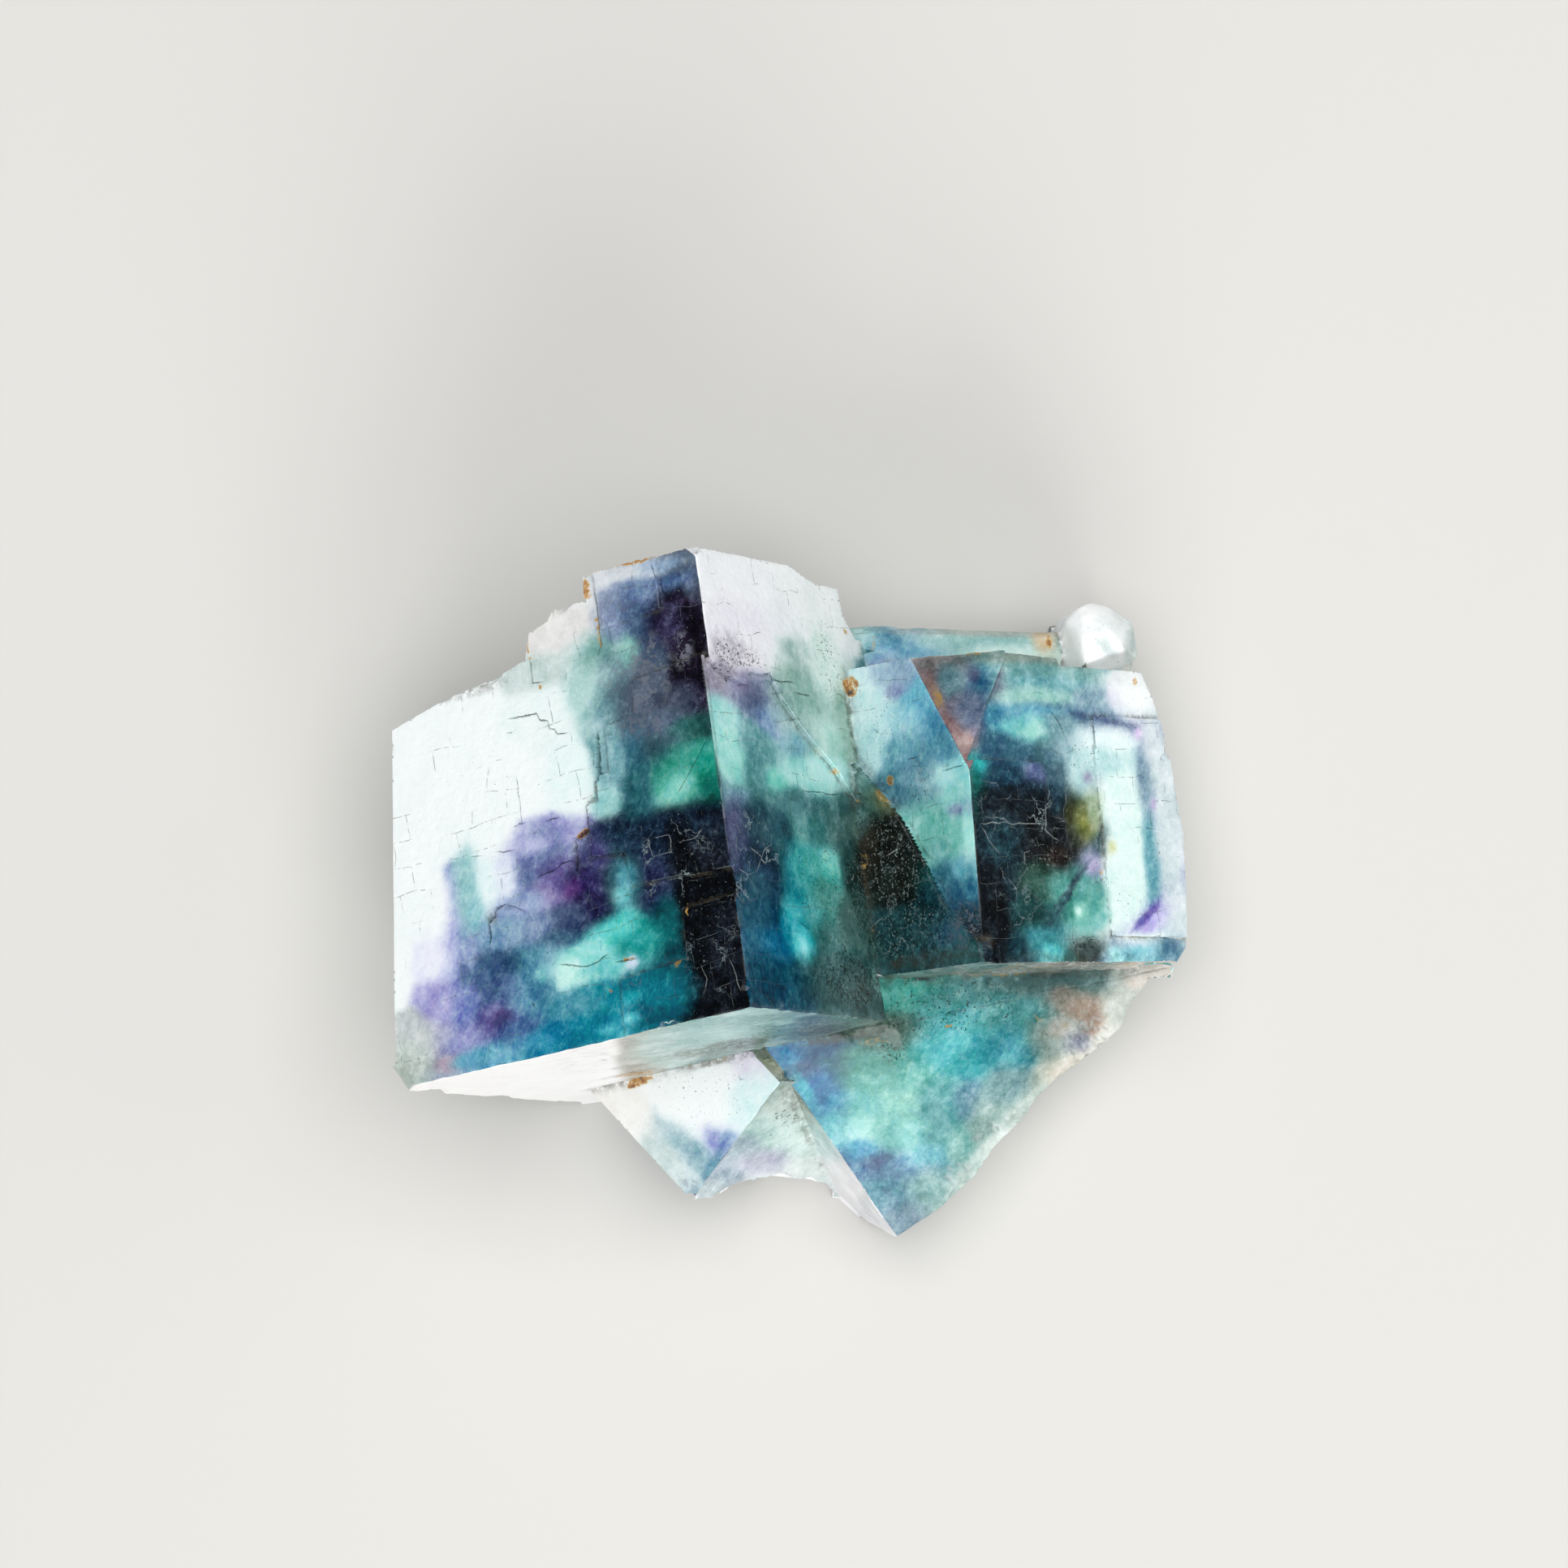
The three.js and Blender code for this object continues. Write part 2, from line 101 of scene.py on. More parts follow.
ZONES["left_right"] = "6fa9ac", [
    (3.5, 15, 5, 2.4, "f4f5f7", 0, 4), (5.6, 14.1, 1.2, 0.7, "e4e8ec"), (1.6, 14, 1.2, 0.5, "e0e4ea"),
    (2, 13.4, 2.6, 1.2, "f0eef4"), (7.4, 14.7, 2.4, 1.3, "eef2f2"), (1.5, 12.5, 1.6, 0.6, "dcd6e0"),
    (1, 11.7, 1, 0.5, "a8a0b4"), (3, 11.1, 1.4, 0.7, "70789e"), (2.2, 11.6, 0.8, 0.4, "8c88ac"),
    (4, 10.4, 1.2, 0.5, "7f9cc4"), (6.2, 11.3, 2, 1.6, "9cc0b4"), (6.2, 12.9, 1.3, 0.6, "acc6c0"),
    (7.9, 12.4, 1, 1.6, "d2e6de"), (8.5, 10.8, 0.5, 1.2, "a4c2b4"), (7.3, 10, 0.8, 0.7, "b8dccf"),
    (0.8, 10.3, 1, 0.5, "a0dcd8"), (0.9, 9, 1, 1, "98dcd2"), (2.4, 9.5, 0.8, 0.7, "6aa4a8"),
    (3.4, 9.2, 0.8, 0.7, "78b0b0"), (2.4, 8.4, 0.8, 0.5, "5f9c9c"), (3.7, 8.3, 0.6, 0.4, "68ccb8"),
    (5.6, 8.6, 1.6, 0.5, "a0dcd4"), (6.8, 8.9, 0.9, 0.35, "b8e8e2"), (5.3, 9.7, 0.8, 0.4, "8cbcc8"),
    (3.5, 7.5, 3.4, 0.4, "4f8686"), (0.9, 7.5, 0.9, 0.3, "78a0b4"), (0.9, 6.5, 0.9, 0.8, "463f6e"),
    (2.4, 6.5, 1.2, 0.8, "1c3644"), (0.6, 5.5, 0.6, 0.6, "342f58"), (1.8, 5.2, 1.3, 0.7, "14203a"),
    (3.4, 6.2, 0.7, 0.9, "1f4656"), (1.6, 4.3, 1.4, 0.6, "102c44"), (1.3, 3.3, 1.4, 0.8, "123c58"),
    (0.8, 2.2, 1, 0.8, "1a5478"), (2.2, 2.3, 0.9, 0.6, "2474a0"), (1.8, 1, 2.2, 0.8, "104660"),
    (4.4, 4.6, 1.2, 1.3, "2f98a4"), (3.8, 3.2, 1, 1, "3cb2bc"), (3.9, 2.5, 0.7, 0.6, "62d2d8"),
    (4, 2.3, 0.3, 0.25, "96ecee"), (2.9, 2.9, 0.4, 0.4, "2a94b0"), (5.4, 5.2, 1.3, 1.1, "48b0aa"),
    (6.4, 5.4, 0.8, 0.7, "72d2c4"), (6.2, 4, 1.2, 0.9, "58a298"), (5, 3.4, 0.7, 0.6, "4aa8a8"),
    (6.2, 2.7, 1.2, 0.6, "4c807c"), (5.8, 6.6, 1.4, 0.5, "5a9c98"), (7.4, 6.8, 0.8, 0.6, "4c7672"),
    (8, 5.2, 0.6, 1.8, "1c3a38"), (9.2, 5.6, 0.9, 1.8, "16211e"), (9, 6.9, 0.8, 0.6, "4f6c62"),
    (7.6, 3.4, 0.9, 0.9, "3f5f58"), (9, 3.2, 0.9, 1.2, "2a4a44"), (6.6, 1.3, 2.8, 0.9, "3c6464"),
    (8.8, 1.4, 0.8, 0.6, "4f8480")]
ZONES["left_under"] = "8ea6a2", [    # [x, z] in the cluster's frame, as seen from in front
    (-10.8, 8, 4.7, 9, "f8f6f5", 0, 6), (-5.5, 9.5, 0.5, 6, "b4b0a6"), (-4.6, 11.5, 1, 3.6, "b4c8c2"),
    (-2.6, 13, 1.6, 3, "9cc0ba"), (-0.8, 14, 1.2, 3, "88b0ac"), (1.2, 12.5, 1, 3, "667e7e"),
    (3, 11, 1.5, 3, "5f7a74"), (-1, 16.6, 0.8, 0.8, "a4c4c2"), (0.5, 15.4, 1, 1.2, "7c9c9c")]
# Dirt, frost, rust, dark dots and hair lines, by kind: [across, up], half width and height,
# strength, and turn in degrees.
MARKS["left_left"] = {
    "frost": [(-2.3, 12, 1.1, 1.7, 1), (-0.8, 12.7, 0.4, 0.8, 0.7), (-2.7, 10.8, 1.3, 1, 0.8),
        (-3.7, 12.3, 0.9, 0.9, 0.5), (-3.2, 14.8, 0.9, 0.8, 0.5)],
    "scratch": [(-2.4, 5.6, 2.4, 1.5, 0.8), (-1.2, 2, 1.2, 1.6, 0.7), (-6.4, 6, 1.6, 1.6, 0.3),
        (-4.6, 1.6, 2, 1.4, 0.3)],
    "iron": [(-2.6, 16.2, 2.2, 0.2, 0.6), (-4.4, 15.7, 0.3, 0.5, 0.55), (-7.05, 14.2, 0.1, 0.6, 0.6),
        (-6.8, 12.7, 0.25, 0.09, 0.8), (-4.1, 14.2, 0.09, 0.9, 0.45), (-5.8, 7.35, 0.35, 0.12, 0.9, 20),
        (-2, 3.8, 0.08, 0.4, 0.48), (-2.7, 2.1, 0.16, 0.25, 0.48, -40), (-5.6, 1.7, 0.1, 0.1, 0.7),
        (-4.8, 2.62, 0.5, 0.06, 0.7)],
    "grime": [(-6.22, 6.6, 0.09, 0.6, 0.9), (-5.5, 7.8, 0.1, 0.5, 0.8), (-10, 5.2, 0.22, 0.3, 0.9),
        (-9.1, 5.4, 0.6, 0.12, 0.4), (-13.9, 0.6, 1, 0.5, 0.25), (-9.3, 13.2, 1.6, 0.25, 0.7)],
    "dots": [(-7.5, 4, 5, 4, 0.25), (-8, 10.5, 3, 2.5, 0.12), (-1.6, 4, 1.6, 3.6, 0.3)]}
MARKS["left_right"] = {
    "frost": [(1.4, 12.6, 1.6, 0.8, 0.4)],
    "scratch": [(1.7, 5.8, 1.8, 1.5, 1), (0.6, 4.2, 0.9, 0.6, 0.8), (6.6, 1.8, 2.8, 1.6, 0.8)],
    "dots": [(2.2, 12.5, 1.6, 0.6, 0.9), (1, 12.2, 1.2, 1.1, 0.9), (5.8, 4.4, 2.4, 2.8, 0.6),
        (8, 12.6, 1, 2.4, 0.6), (6, 7.7, 2.5, 0.5, 0.6), (6.8, 1.4, 3.2, 1.3, 1),
        (8.6, 4.5, 1.4, 2.6, 1)],
    "iron": [(6.5, 4, 4, 4, 0.15), (9.5, 12.1, 0.7, 0.35, 1), (8.8, 7.9, 0.25, 0.15, 0.6),
        (7.5, 8.8, 0.3, 0.16, 0.4), (9.5, 14.1, 0.3, 0.12, 0.6), (8.9, 5.5, 0.4, 0.5, 0.35),
        (9, 3.3, 0.3, 0.1, 0.5)],
    "grime": [(8.9, 10.8, 0.2, 1.6, 0.9), (8.6, 8.6, 0.4, 0.9, 0.8), (6.5, 1.2, 2.6, 1, 0.3)]}
MARKS["left_under"] = {
    "grime": [(-2.4, 9.4, 2.6, 1.5, 1, 28), (1.4, 10.4, 2.4, 1.6, 0.8), (-6, 6, 1.3, 0.4, 0.6, 20)],
    "dots": [(-1.4, 10.2, 2.4, 1.6, 1, 20), (1.2, 11.6, 3, 2.6, 1)],
    "iron": [(-5.6, 5.9, 1, 0.3, 0.6)],
    "fibre": [(-3, 11, 6, 5, 1)]}
# Cracks: width, depth and lines [across, up], all in mm. With a depth above 0 a crack is a
# groove dark with grime, below 0 a pale edge that stands up.
CRACKS["left_left"] = [
    (0.08, 0.18, [(-4.72, 10.7), (-4.78, 9.9), (-4.86, 9), (-5.1, 8.95), (-5.1, 8.4), (-5.5, 8.3),
     (-5.52, 7.45), (-5.75, 7.25), (-6.2, 7.15), (-6.28, 6)]),
    (0.035, 0.1, [(-8.3, 11.9), (-7.1, 11.85), (-7, 11.6), (-6.7, 11.5), (-6.65, 11.2), (-6.4, 11.1),
     (-6.35, 10.95), (-5.9, 10.9)]),
    (0.025, 0.08, [(-8.25, 9.9), (-8.28, 8.2), (-8.6, 8.15)]),
    (0.035, 0.08, [(-8.65, 8.12), (-8.2, 8.13)]),
    (0.04, 0.08, [(-7.35, 8.02), (-6.7, 8.06)], [(-8.4, 11.42), (-8.15, 11.4)]),
    (0.06, 0.14, [(-10.3, 4.2), (-10.15, 4.5), (-10.2, 5), (-9.95, 5.15), (-9.8, 5.45), (-9.4, 5.5)]),
    (0.02, 0.05, [(-9.3, 5.45), (-9, 5.32), (-8.6, 5.1)]),
    (0.025, 0.06, [(-10.6, 7.45), (-10.1, 7.4)], [(-9.5, 7.4), (-8.75, 7.3)]),
    (0.03, 0.08, [(-8, 6.2), (-7.2, 6.3), (-6.9, 6.45), (-6.3, 6.4)], [(-6.6, 4), (-6.1, 4.4),
     (-5.95, 4.9)], [(-7.6, 3), (-6.9, 2.85), (-6.4, 2.75), (-5.9, 2.8), (-5.5, 3)]),
    (0.04, 0.08, [(-5.3, 2.65), (-4.3, 2.6)]),
    (0.05, 0.12, [(-8.85, 2), (-8.75, 1.7)]),
    (0.025, 0.08, [(-0.25, 9.4), (-0.9, 8.7), (-1.4, 8.2), (-1.75, 7.8)]),
    (0.02, 0.05, [(-1.1, 12.9), (-0.7, 12.6), (-0.5, 12.2)]),
    (0.03, 0.1, [(-7.05, 13.8), (-7.08, 12.9), (-6.7, 12.85)]),
    (0.025, 0.1, [(-4.05, 15.6), (-4.06, 13.6), (-4.3, 13.2)]),
    (0.03, 0.1, [(-1.5, 15.9), (-1.3, 14.9), (-1, 14.4)]),
    (0.02, -0.03, [(-2.75, 5), (-1.75, 4.95)], [(-3.1, 6.55), (-3.1, 5.9), (-2.3, 5.9), (-2.3, 6.5),
     (-3, 6.55)], [(-2, 6.3), (-1.9, 6.15), (-1.2, 6.2), (-0.9, 6.5)], [(-1.75, 1.9), (-1.6, 1.3),
     (-1.75, 0.9)], [(-0.6, 1.9), (-0.4, 1.2), (-0.3, 0.6)])]
CRACKS["left_right"] = [
    (0.03, 0.08, [(3.9, 11.8), (5.4, 11.85), (5.5, 11.5), (6.4, 11.45), (6.45, 11.1)]),
    (0.025, 0.06, [(4.2, 11.6), (5.2, 10.7), (6.2, 9.9)], [(5.4, 8), (6.6, 8.05), (7.8, 8.05)]),
    (0.03, 0.1, [(3.8, 3.3), (4.5, 3)], [(8.5, 11.7), (8.9, 11.5), (9, 10.6), (8.9, 10)]),
    (0.02, -0.03, [(0.2, 4.9), (0.9, 4.7), (1.5, 4.9), (2.1, 5.6), (2.7, 5.9), (2.8, 6.4)], [(1.2, 5.7),
     (1.9, 5.4), (2, 5.2)], [(0.1, 4.3), (0.5, 4), (0.8, 3.75)])]


# ---- Right crystal --------------------------------------------------------------------
# A smaller cube grown into the left one's flank. A thick dark later layer laps its left
# face, and its top front corner has split off along the octahedral cleavage.
ZONES["right_left"] = "9fcad2", [
    (-4.8, 9.6, 1.6, 1.2, "d4ecee"), (-5, 8.4, 1.2, 0.7, "bcdfe2"), (-3.7, 10.6, 0.8, 0.4, "98b4cc"),
    (-3.3, 10, 0.5, 0.3, "98a4c8"), (-3.1, 9.1, 0.8, 0.6, "98ccd8"), (-2.3, 9.5, 0.8, 0.6, "88c8dc"),
    (-1.8, 9.2, 0.5, 0.5, "80c0d8"), (-1.5, 8.4, 0.7, 0.6, "68a8c6"), (-1.1, 7.8, 0.4, 0.4, "5494b0"),
    (-3, 8, 1, 0.6, "7cb4c4"), (-2.2, 7.6, 0.6, 0.4, "6fa6ba"), (-2.8, 6.9, 0.8, 0.5, "5c8fa4"),
    (-2.1, 6.2, 0.7, 0.6, "7aa8b4"), (-1, 6.6, 0.8, 0.4, "a8e2e2"), (-2.1, 5.2, 0.9, 0.7, "8fd0c6"),
    (-0.9, 5.9, 0.6, 0.3, "9cdcd6"), (-0.7, 5.4, 0.35, 0.18, "8488ba"), (-0.8, 4.6, 0.8, 0.7, "90d4c8"),
    (-1.6, 4.2, 0.6, 0.4, "78bcb6"), (-0.2, 4.6, 0.25, 0.8, "bcf2ea"), (-0.7, 3.3, 0.6, 0.5, "74b8c8"),
    (-1.4, 3.2, 0.4, 0.5, "3f7a90"), (-0.9, 2.5, 0.5, 0.5, "2f6288"), (-0.3, 2.6, 0.25, 0.6, "4f8cac"),
    (-0.5, 1.6, 0.6, 0.5, "1f3c54"), (0, 0.8, 0.9, 0.8, "16222c")]
ZONES["dark_layer"] = "15282a", [
    (-5.2, 7, 1.1, 0.9, "5e8984"), (-4.5, 6.2, 0.6, 0.5, "5c7a6a"), (-5.7, 5.8, 0.9, 0.6, "507a76"),
    (-6.3, 5, 0.6, 0.9, "3f605e"), (-3.9, 6.2, 0.5, 0.4, "62643e", -50),
    (-5.5, 4.2, 0.6, 0.4, "26281e"), (-3.9, 4.6, 1.2, 1, "060908"), (-4, 3.3, 1.4, 0.8, "0c1412"),
    (-2.8, 4.5, 0.4, 0.6, "0c1210"), (-6.6, 2.8, 0.7, 1.8, "2f5f56"), (-5.6, 2.9, 0.6, 0.6, "1c2c28"),
    (-1.9, 3.4, 0.5, 0.4, "0d3634"), (-1.7, 2.5, 0.7, 0.6, "12303a"), (-3.3, 1.4, 2.2, 0.8, "1d464e"),
    (-1.2, 1.3, 0.6, 0.5, "2a5068"), (-5.8, 1.1, 1.2, 0.7, "2f5450"), (-2.6, 0.4, 2.4, 0.3, "274c50")]
ZONES["right_right"] = "98ccce", [
    (3, 10.8, 3.2, 0.35, "82958c"), (4.5, 10.3, 3.6, 0.25, "78acac"), (0.9, 9.6, 0.5, 0.6, "46708e"),
    (1.3, 10.3, 0.6, 0.4, "86707c"), (0.7, 8.7, 0.4, 0.5, "68688a"), (0.35, 7.8, 0.3, 0.4, "8a7c84"),
    (1.5, 9.9, 0.5, 0.5, "6c7488"), (4.2, 9.95, 1.8, 0.2, "7cb4bc"), (3.8, 9.45, 1.9, 0.25, "a4d0c8"),
    (6.2, 9.5, 0.7, 0.4, "7c9eb0"), (7.6, 9.6, 0.6, 0.5, "d6d6e6"), (8.5, 9.7, 1.1, 0.9, "f4f6f6"),
    (8.4, 10.2, 1.4, 0.3, "e6eaea"), (3.2, 8.95, 1.8, 0.18, "7cb8cc"), (1.6, 8.7, 0.6, 0.4, "5a9ab8"),
    (2.8, 8.3, 1.2, 0.4, "80c8cc"), (3.4, 8.2, 0.7, 0.3, "98d4ca"), (4.8, 8.2, 0.8, 0.6, "8cb0b8"),
    (6.9, 7.9, 1.3, 0.4, "e2f2f2"), (5.8, 8.8, 0.5, 0.12, "48648a", -10),
    (7.1, 8.62, 1.2, 0.12, "5f6e94", -10), (8.5, 8.15, 0.2, 0.2, "dcc2ea"),
    (0.5, 7, 0.35, 0.4, "48c2c2"), (1.5, 7.5, 0.8, 0.5, "447090"), (2.5, 7.3, 0.8, 0.5, "4c7c94"),
    (3.2, 6.7, 0.6, 0.4, "727ca8"), (3.9, 7.3, 0.6, 0.5, "56808e"), (1.6, 6.6, 0.8, 0.4, "24465c"),
    (4.3, 6.6, 0.5, 0.5, "38586a"), (5.5, 6.8, 0.7, 0.7, "a2cacb"), (5.8, 6.6, 0.25, 0.2, "9498b0"),
    (0.3, 6, 0.3, 0.7, "127068"), (3.4, 5.8, 1.3, 0.5, "18303e"), (1.9, 5.2, 1.9, 0.9, "101820", 0, 5),
    (3.2, 4.4, 1.6, 0.9, "0a0d10"), (0.6, 2.3, 0.8, 2.1, "05080c", 0, 4), (1.2, 4.3, 1, 0.8, "0d2028"),
    (1.9, 2.4, 0.6, 1.2, "0f1e26"), (4.85, 5.3, 0.3, 0.6, "34341a"), (5.35, 5.15, 0.35, 0.5, "8e9258"),
    (5.5, 5, 0.2, 0.25, "a8a860"), (5.9, 5.5, 0.3, 0.6, "b4c4a8"), (3.8, 3.8, 0.6, 0.3, "241c1a"),
    (2.9, 2.9, 0.9, 0.6, "26483a"), (2.4, 1.8, 0.8, 0.6, "225050"), (4.4, 2.4, 1.3, 0.8, "5aa89c"),
    (5.4, 2.8, 0.5, 0.5, "84c0ba"), (5.2, 1.7, 0.8, 0.6, "6cbab0"), (4.9, 1.8, 0.4, 0.35, "98d4c6"),
    (4.9, 1.8, 0.15, 0.15, "d8f4ec"), (5.7, 3.5, 0.4, 0.4, "aea8cc"),
    (4.4, 2.5, 1.7, 0.1, "40586a", 43), (4, 2.4, 1.2, 0.08, "4a6a74", 40),
    (2.9, 0.9, 0.9, 0.4, "348a92"), (3.4, 0.5, 0.5, 0.25, "62c6c8"), (5.1, 0.6, 0.9, 0.25, "50605c"),
    (1.6, 0.6, 0.5, 0.4, "12323c"), (7.4, 4.2, 0.95, 3, "dff2ee", 0, 3), (6.7, 7.2, 1, 0.4, "bcdede"),
    (6.65, 4.1, 0.22, 0.24, "d4d8a8"), (8.6, 6.4, 0.3, 1.2, "94aec0"), (8.6, 3.6, 0.35, 1.6, "7cb6c2"),
    (9, 7.8, 0.4, 0.8, "d4dce2"), (9.5, 4.6, 0.6, 3.2, "d0dcdf", 0, 4), (8.9, 5.6, 0.12, 0.2, "b2a4d0"),
    (8.4, 1.5, 0.8, 0.4, "c4bce8", 30), (8.1, 1.7, 0.9, 0.16, "8a7cc8", 36),
    (8, 0.95, 1.3, 0.16, "e6f2f0"), (6.5, 0.3, 0.4, 0.3, "b4f0f2"), (7.6, 0.4, 0.8, 0.25, "7cc4d2"),
    (9.2, 0.5, 0.5, 0.35, "507c9a")]
CRACKS["right_right"] = [
    (0.035, 0.12, [(6.35, 5.4), (6.3, 4.8), (6.15, 4.4), (6.1, 3.9)]),
    (0.03, 0.12, [(6.38, 4), (6.36, 3), (6.4, 2), (6.4, 0.9)]),
    (0.03, 0.1, [(4.3, 8.9), (4.7, 8.4), (4.9, 8)]),
    (0.03, 0.08, [(-1.1, 6.95), (-0.4, 6.98), (0, 7.1)]),
    (0.025, -0.04, [(3.8, 6.2), (3.95, 6.05), (3.8, 5.8), (3.5, 5.5), (3.4, 4.7), (3.8, 4.4),
     (4.1, 4.3)], [(4.7, 6.2), (4.7, 5.7), (4.5, 5.4), (4.5, 5), (4.1, 5)], [(2.3, 3.4), (2.3, 3.9),
     (2.7, 3.95)], [(0.4, 4.8), (0.6, 4.4), (0.9, 4.1), (1.2, 3.8)], [(0.4, 6.4), (1.2, 6.35),
     (1.3, 6.15)]),
    (0.03, -0.05, [(0.3, 4.9), (1.4, 4.95), (1.9, 4.9), (3.4, 4.9)]),
    (0.02, -0.04, [(1.4, 3), (1.8, 2.6), (1.7, 2.1)])]
CRACKS["right_left"] = [
    (0.03, 0.08, [(-4.6, 8.8), (-4.3, 8.6)], [(-4.2, 8.55), (-4, 8.7)], [(-1.2, 6.93), (-0.1, 6.97)]),
    (0.025, 0.06, [(-3, 7.5), (-2.4, 7.55)]),
    (0.03, -0.04, [(-4, 4.2), (-3.3, 4.4)], [(-5.2, 1.8), (-4.4, 2.1)], [(-2.6, 4.6), (-2.2, 4.1),
     (-1.9, 3.9)])]
ZONES["ledge"] = "8b968f", [    # its underside, [x, z] as seen from in front
    (12.6, 5, 1.6, 3, "cfc8c0"), (9.5, 7, 2, 3, "9aa29b"), (5, 10, 2, 3, "77867f")]
MARKS["ledge"] = {
    "grime": [(8.5, 8, 7, 5, 0.7)],
    "fibre": [(8.5, 8, 6, 5, 1)],
    "iron": [(7, 8.6, 3.6, 1.6, 0.31), (12.4, 5, 1.2, 1.2, 0.3)]}
MARKS["right_left"] = {
    "iron": [(-5.55, 10.4, 0.5, 0.5, 0.62), (-5.7, 10.25, 0.3, 0.2, 1),
        (-3.9, 6.9, 0.24, 0.32, 0.7, 20), (-2.6, 7.5, 0.4, 0.05, 0.4)],
    "dots": [(-4, 8.8, 2, 1.6, 0.45), (-2.5, 6.5, 0.9, 0.8, 0.6), (-0.5, 1.4, 1.2, 1.2, 1)],
    "scratch": [(-2.4, 6.6, 1.4, 1.2, 0.9), (-3.6, 7.4, 1.2, 0.8, 0.7)],
    "grime": [(-6.05, 9.2, 0.2, 1.6, 0.8), (-1, 7.05, 0.5, 0.08, 0.6)],
    "frost": [(-0.5, 1.5, 0.7, 0.9, 0.7)]}
MARKS["dark_layer"] = {
    "scratch": [(-3.4, 3.4, 2.6, 2.4, 0.5), (-2.2, 1.2, 2.6, 1, 0.8)],
    "dots": [(-3.8, 4, 2, 2, 1), (-3.2, 1.4, 3.2, 1.3, 1), (-5.4, 5.4, 1.2, 1.8, 0.9)],
    "iron": [(-5.4, 4.2, 0.9, 0.7, 0.3), (-4, 6.3, 0.25, 0.6, 0.4, 45), (-6, 7.95, 0.25, 0.1, 0.7),
        (-5.2, 1.75, 0.3, 0.1, 0.5)],
    "grime": [(-5.3, 4.6, 0.9, 1.4, 0.5), (-2, 0.4, 2.8, 0.35, 0.7)],
    "frost": [(-0.6, 1.2, 0.6, 0.7, 0.6)]}
MARKS["right_right"] = {
    "scratch": [(2.2, 5.4, 2.2, 1.2, 0.8), (1.6, 2.4, 1.4, 1.8, 0.8), (3.6, 2.2, 1.4, 1.2, 0.5)],
    "dots": [(6.1, 3, 0.35, 1.2, 0.6), (5.6, 7.2, 1.2, 0.8, 0.5), (4.8, 0.7, 1.4, 0.4, 0.9),
        (7, 2.6, 0.7, 1, 0.4), (3.4, 3.6, 1.6, 0.8, 0.7), (8.8, 5, 0.5, 3, 0.4)],
    "iron": [(8.6, 10.1, 0.25, 0.2, 0.5), (6.2, 3, 0.12, 0.6, 0.4)],
    "grime": [(5, 0.25, 4, 0.25, 0.6), (6.25, 4.6, 0.1, 0.8, 0.8)]}
MARKS["split"] = {
    "iron": [(6.2, 8.75, 1.6, 0.16, 0.5), (5.1, 7.1, 0.25, 0.7, 0.35, 28),
        (8.4, 8.5, 0.5, 0.12, 0.7, -30)]}
# The oblique face where its corner split off: [x, y] in the cluster's frame.
ZONES["split"] = "7c9aa0", [
    (5, 7.5, 0.8, 1, "8f7f84"), (5.6, 6.8, 0.6, 0.9, "8a8494"), (7.2, 7.8, 0.7, 1.2, "80b4ba"),
    (7, 7, 0.5, 0.9, "74a4ae"), (5, 8.3, 0.7, 0.3, "7c7474"), (8.3, 8.5, 1.8, 0.25, "86988e"),
    (5.5, 7.7, 0.5, 0.5, "6c8f98"), (6.5, 7.5, 0.4, 0.6, "42789c"), (6.3, 7.9, 0.2, 0.25, "4f5478"),
    (6.3, 6.8, 0.5, 0.6, "7c86a0"), (4.9, 7.3, 0.25, 0.7, "a0807c", 30),
    (5.5, 6.1, 0.25, 0.6, "a47f80", 30), (6.1, 5.6, 0.4, 0.3, "b49490"),
    (6.5, 5.9, 0.25, 0.2, "7c7092")]


# ---- Crystal behind, and the pale knob ------------------------------------------------
# A third cube shows as a strip behind the right one, with a bevelled pale rim; beside it
# stands a lump of clear broken fluorite, frosted by weathering.
ZONES["rear"] = "a3cfd0", [
    (2.6, 9, 0.6, 0.6, "b5d6d2"), (4, 8.9, 1.2, 0.8, "5f9fbe"), (4.3, 9.3, 0.8, 0.3, "4f8fb4"),
    (3.4, 7.9, 0.8, 0.8, "9fb8dc"), (5.3, 9.2, 0.7, 0.3, "77a9b8"), (7.3, 9.5, 3.2, 0.35, "c3ccc6"),
    (7.2, 9.15, 2.6, 0.3, "9fc9c6"), (8, 8.85, 1.6, 0.25, "d2e8e2"), (9.1, 9.3, 0.4, 0.5, "d8c4a4")]
ZONES["knob"] = "f2f6f5", [
    (10.6, 9.9, 1, 0.7, "fafbfb"), (10.2, 8.9, 0.8, 0.7, "f4f7f6"), (11.6, 9.8, 0.8, 0.5, "dfe6e5"),
    (11.3, 8.8, 0.9, 0.6, "f8fafa"), (12.2, 8.9, 0.25, 0.7, "b9c6c4"),
    (11.2, 8.9, 0.2, 0.5, "c9d3d2", 40), (12.5, 7.8, 0.5, 0.6, "efece4"),
    (12.4, 7.9, 0.2, 0.2, "d8c88c")]
MARKS["rear"] = {
    "iron": [(9.25, 9.2, 0.14, 0.35, 0.6), (1.9, 9.4, 0.3, 0.15, 0.9), (2.9, 9.1, 0.1, 0.4, 0.5)],
    "dots": [(5, 9, 4, 0.7, 0.3)]}
MARKS["knob"] = {
    "dots": [(11.5, 9, 1.5, 1.5, 0.3)],
    "iron": [(12.3, 7.8, 0.25, 0.2, 0.8)]}


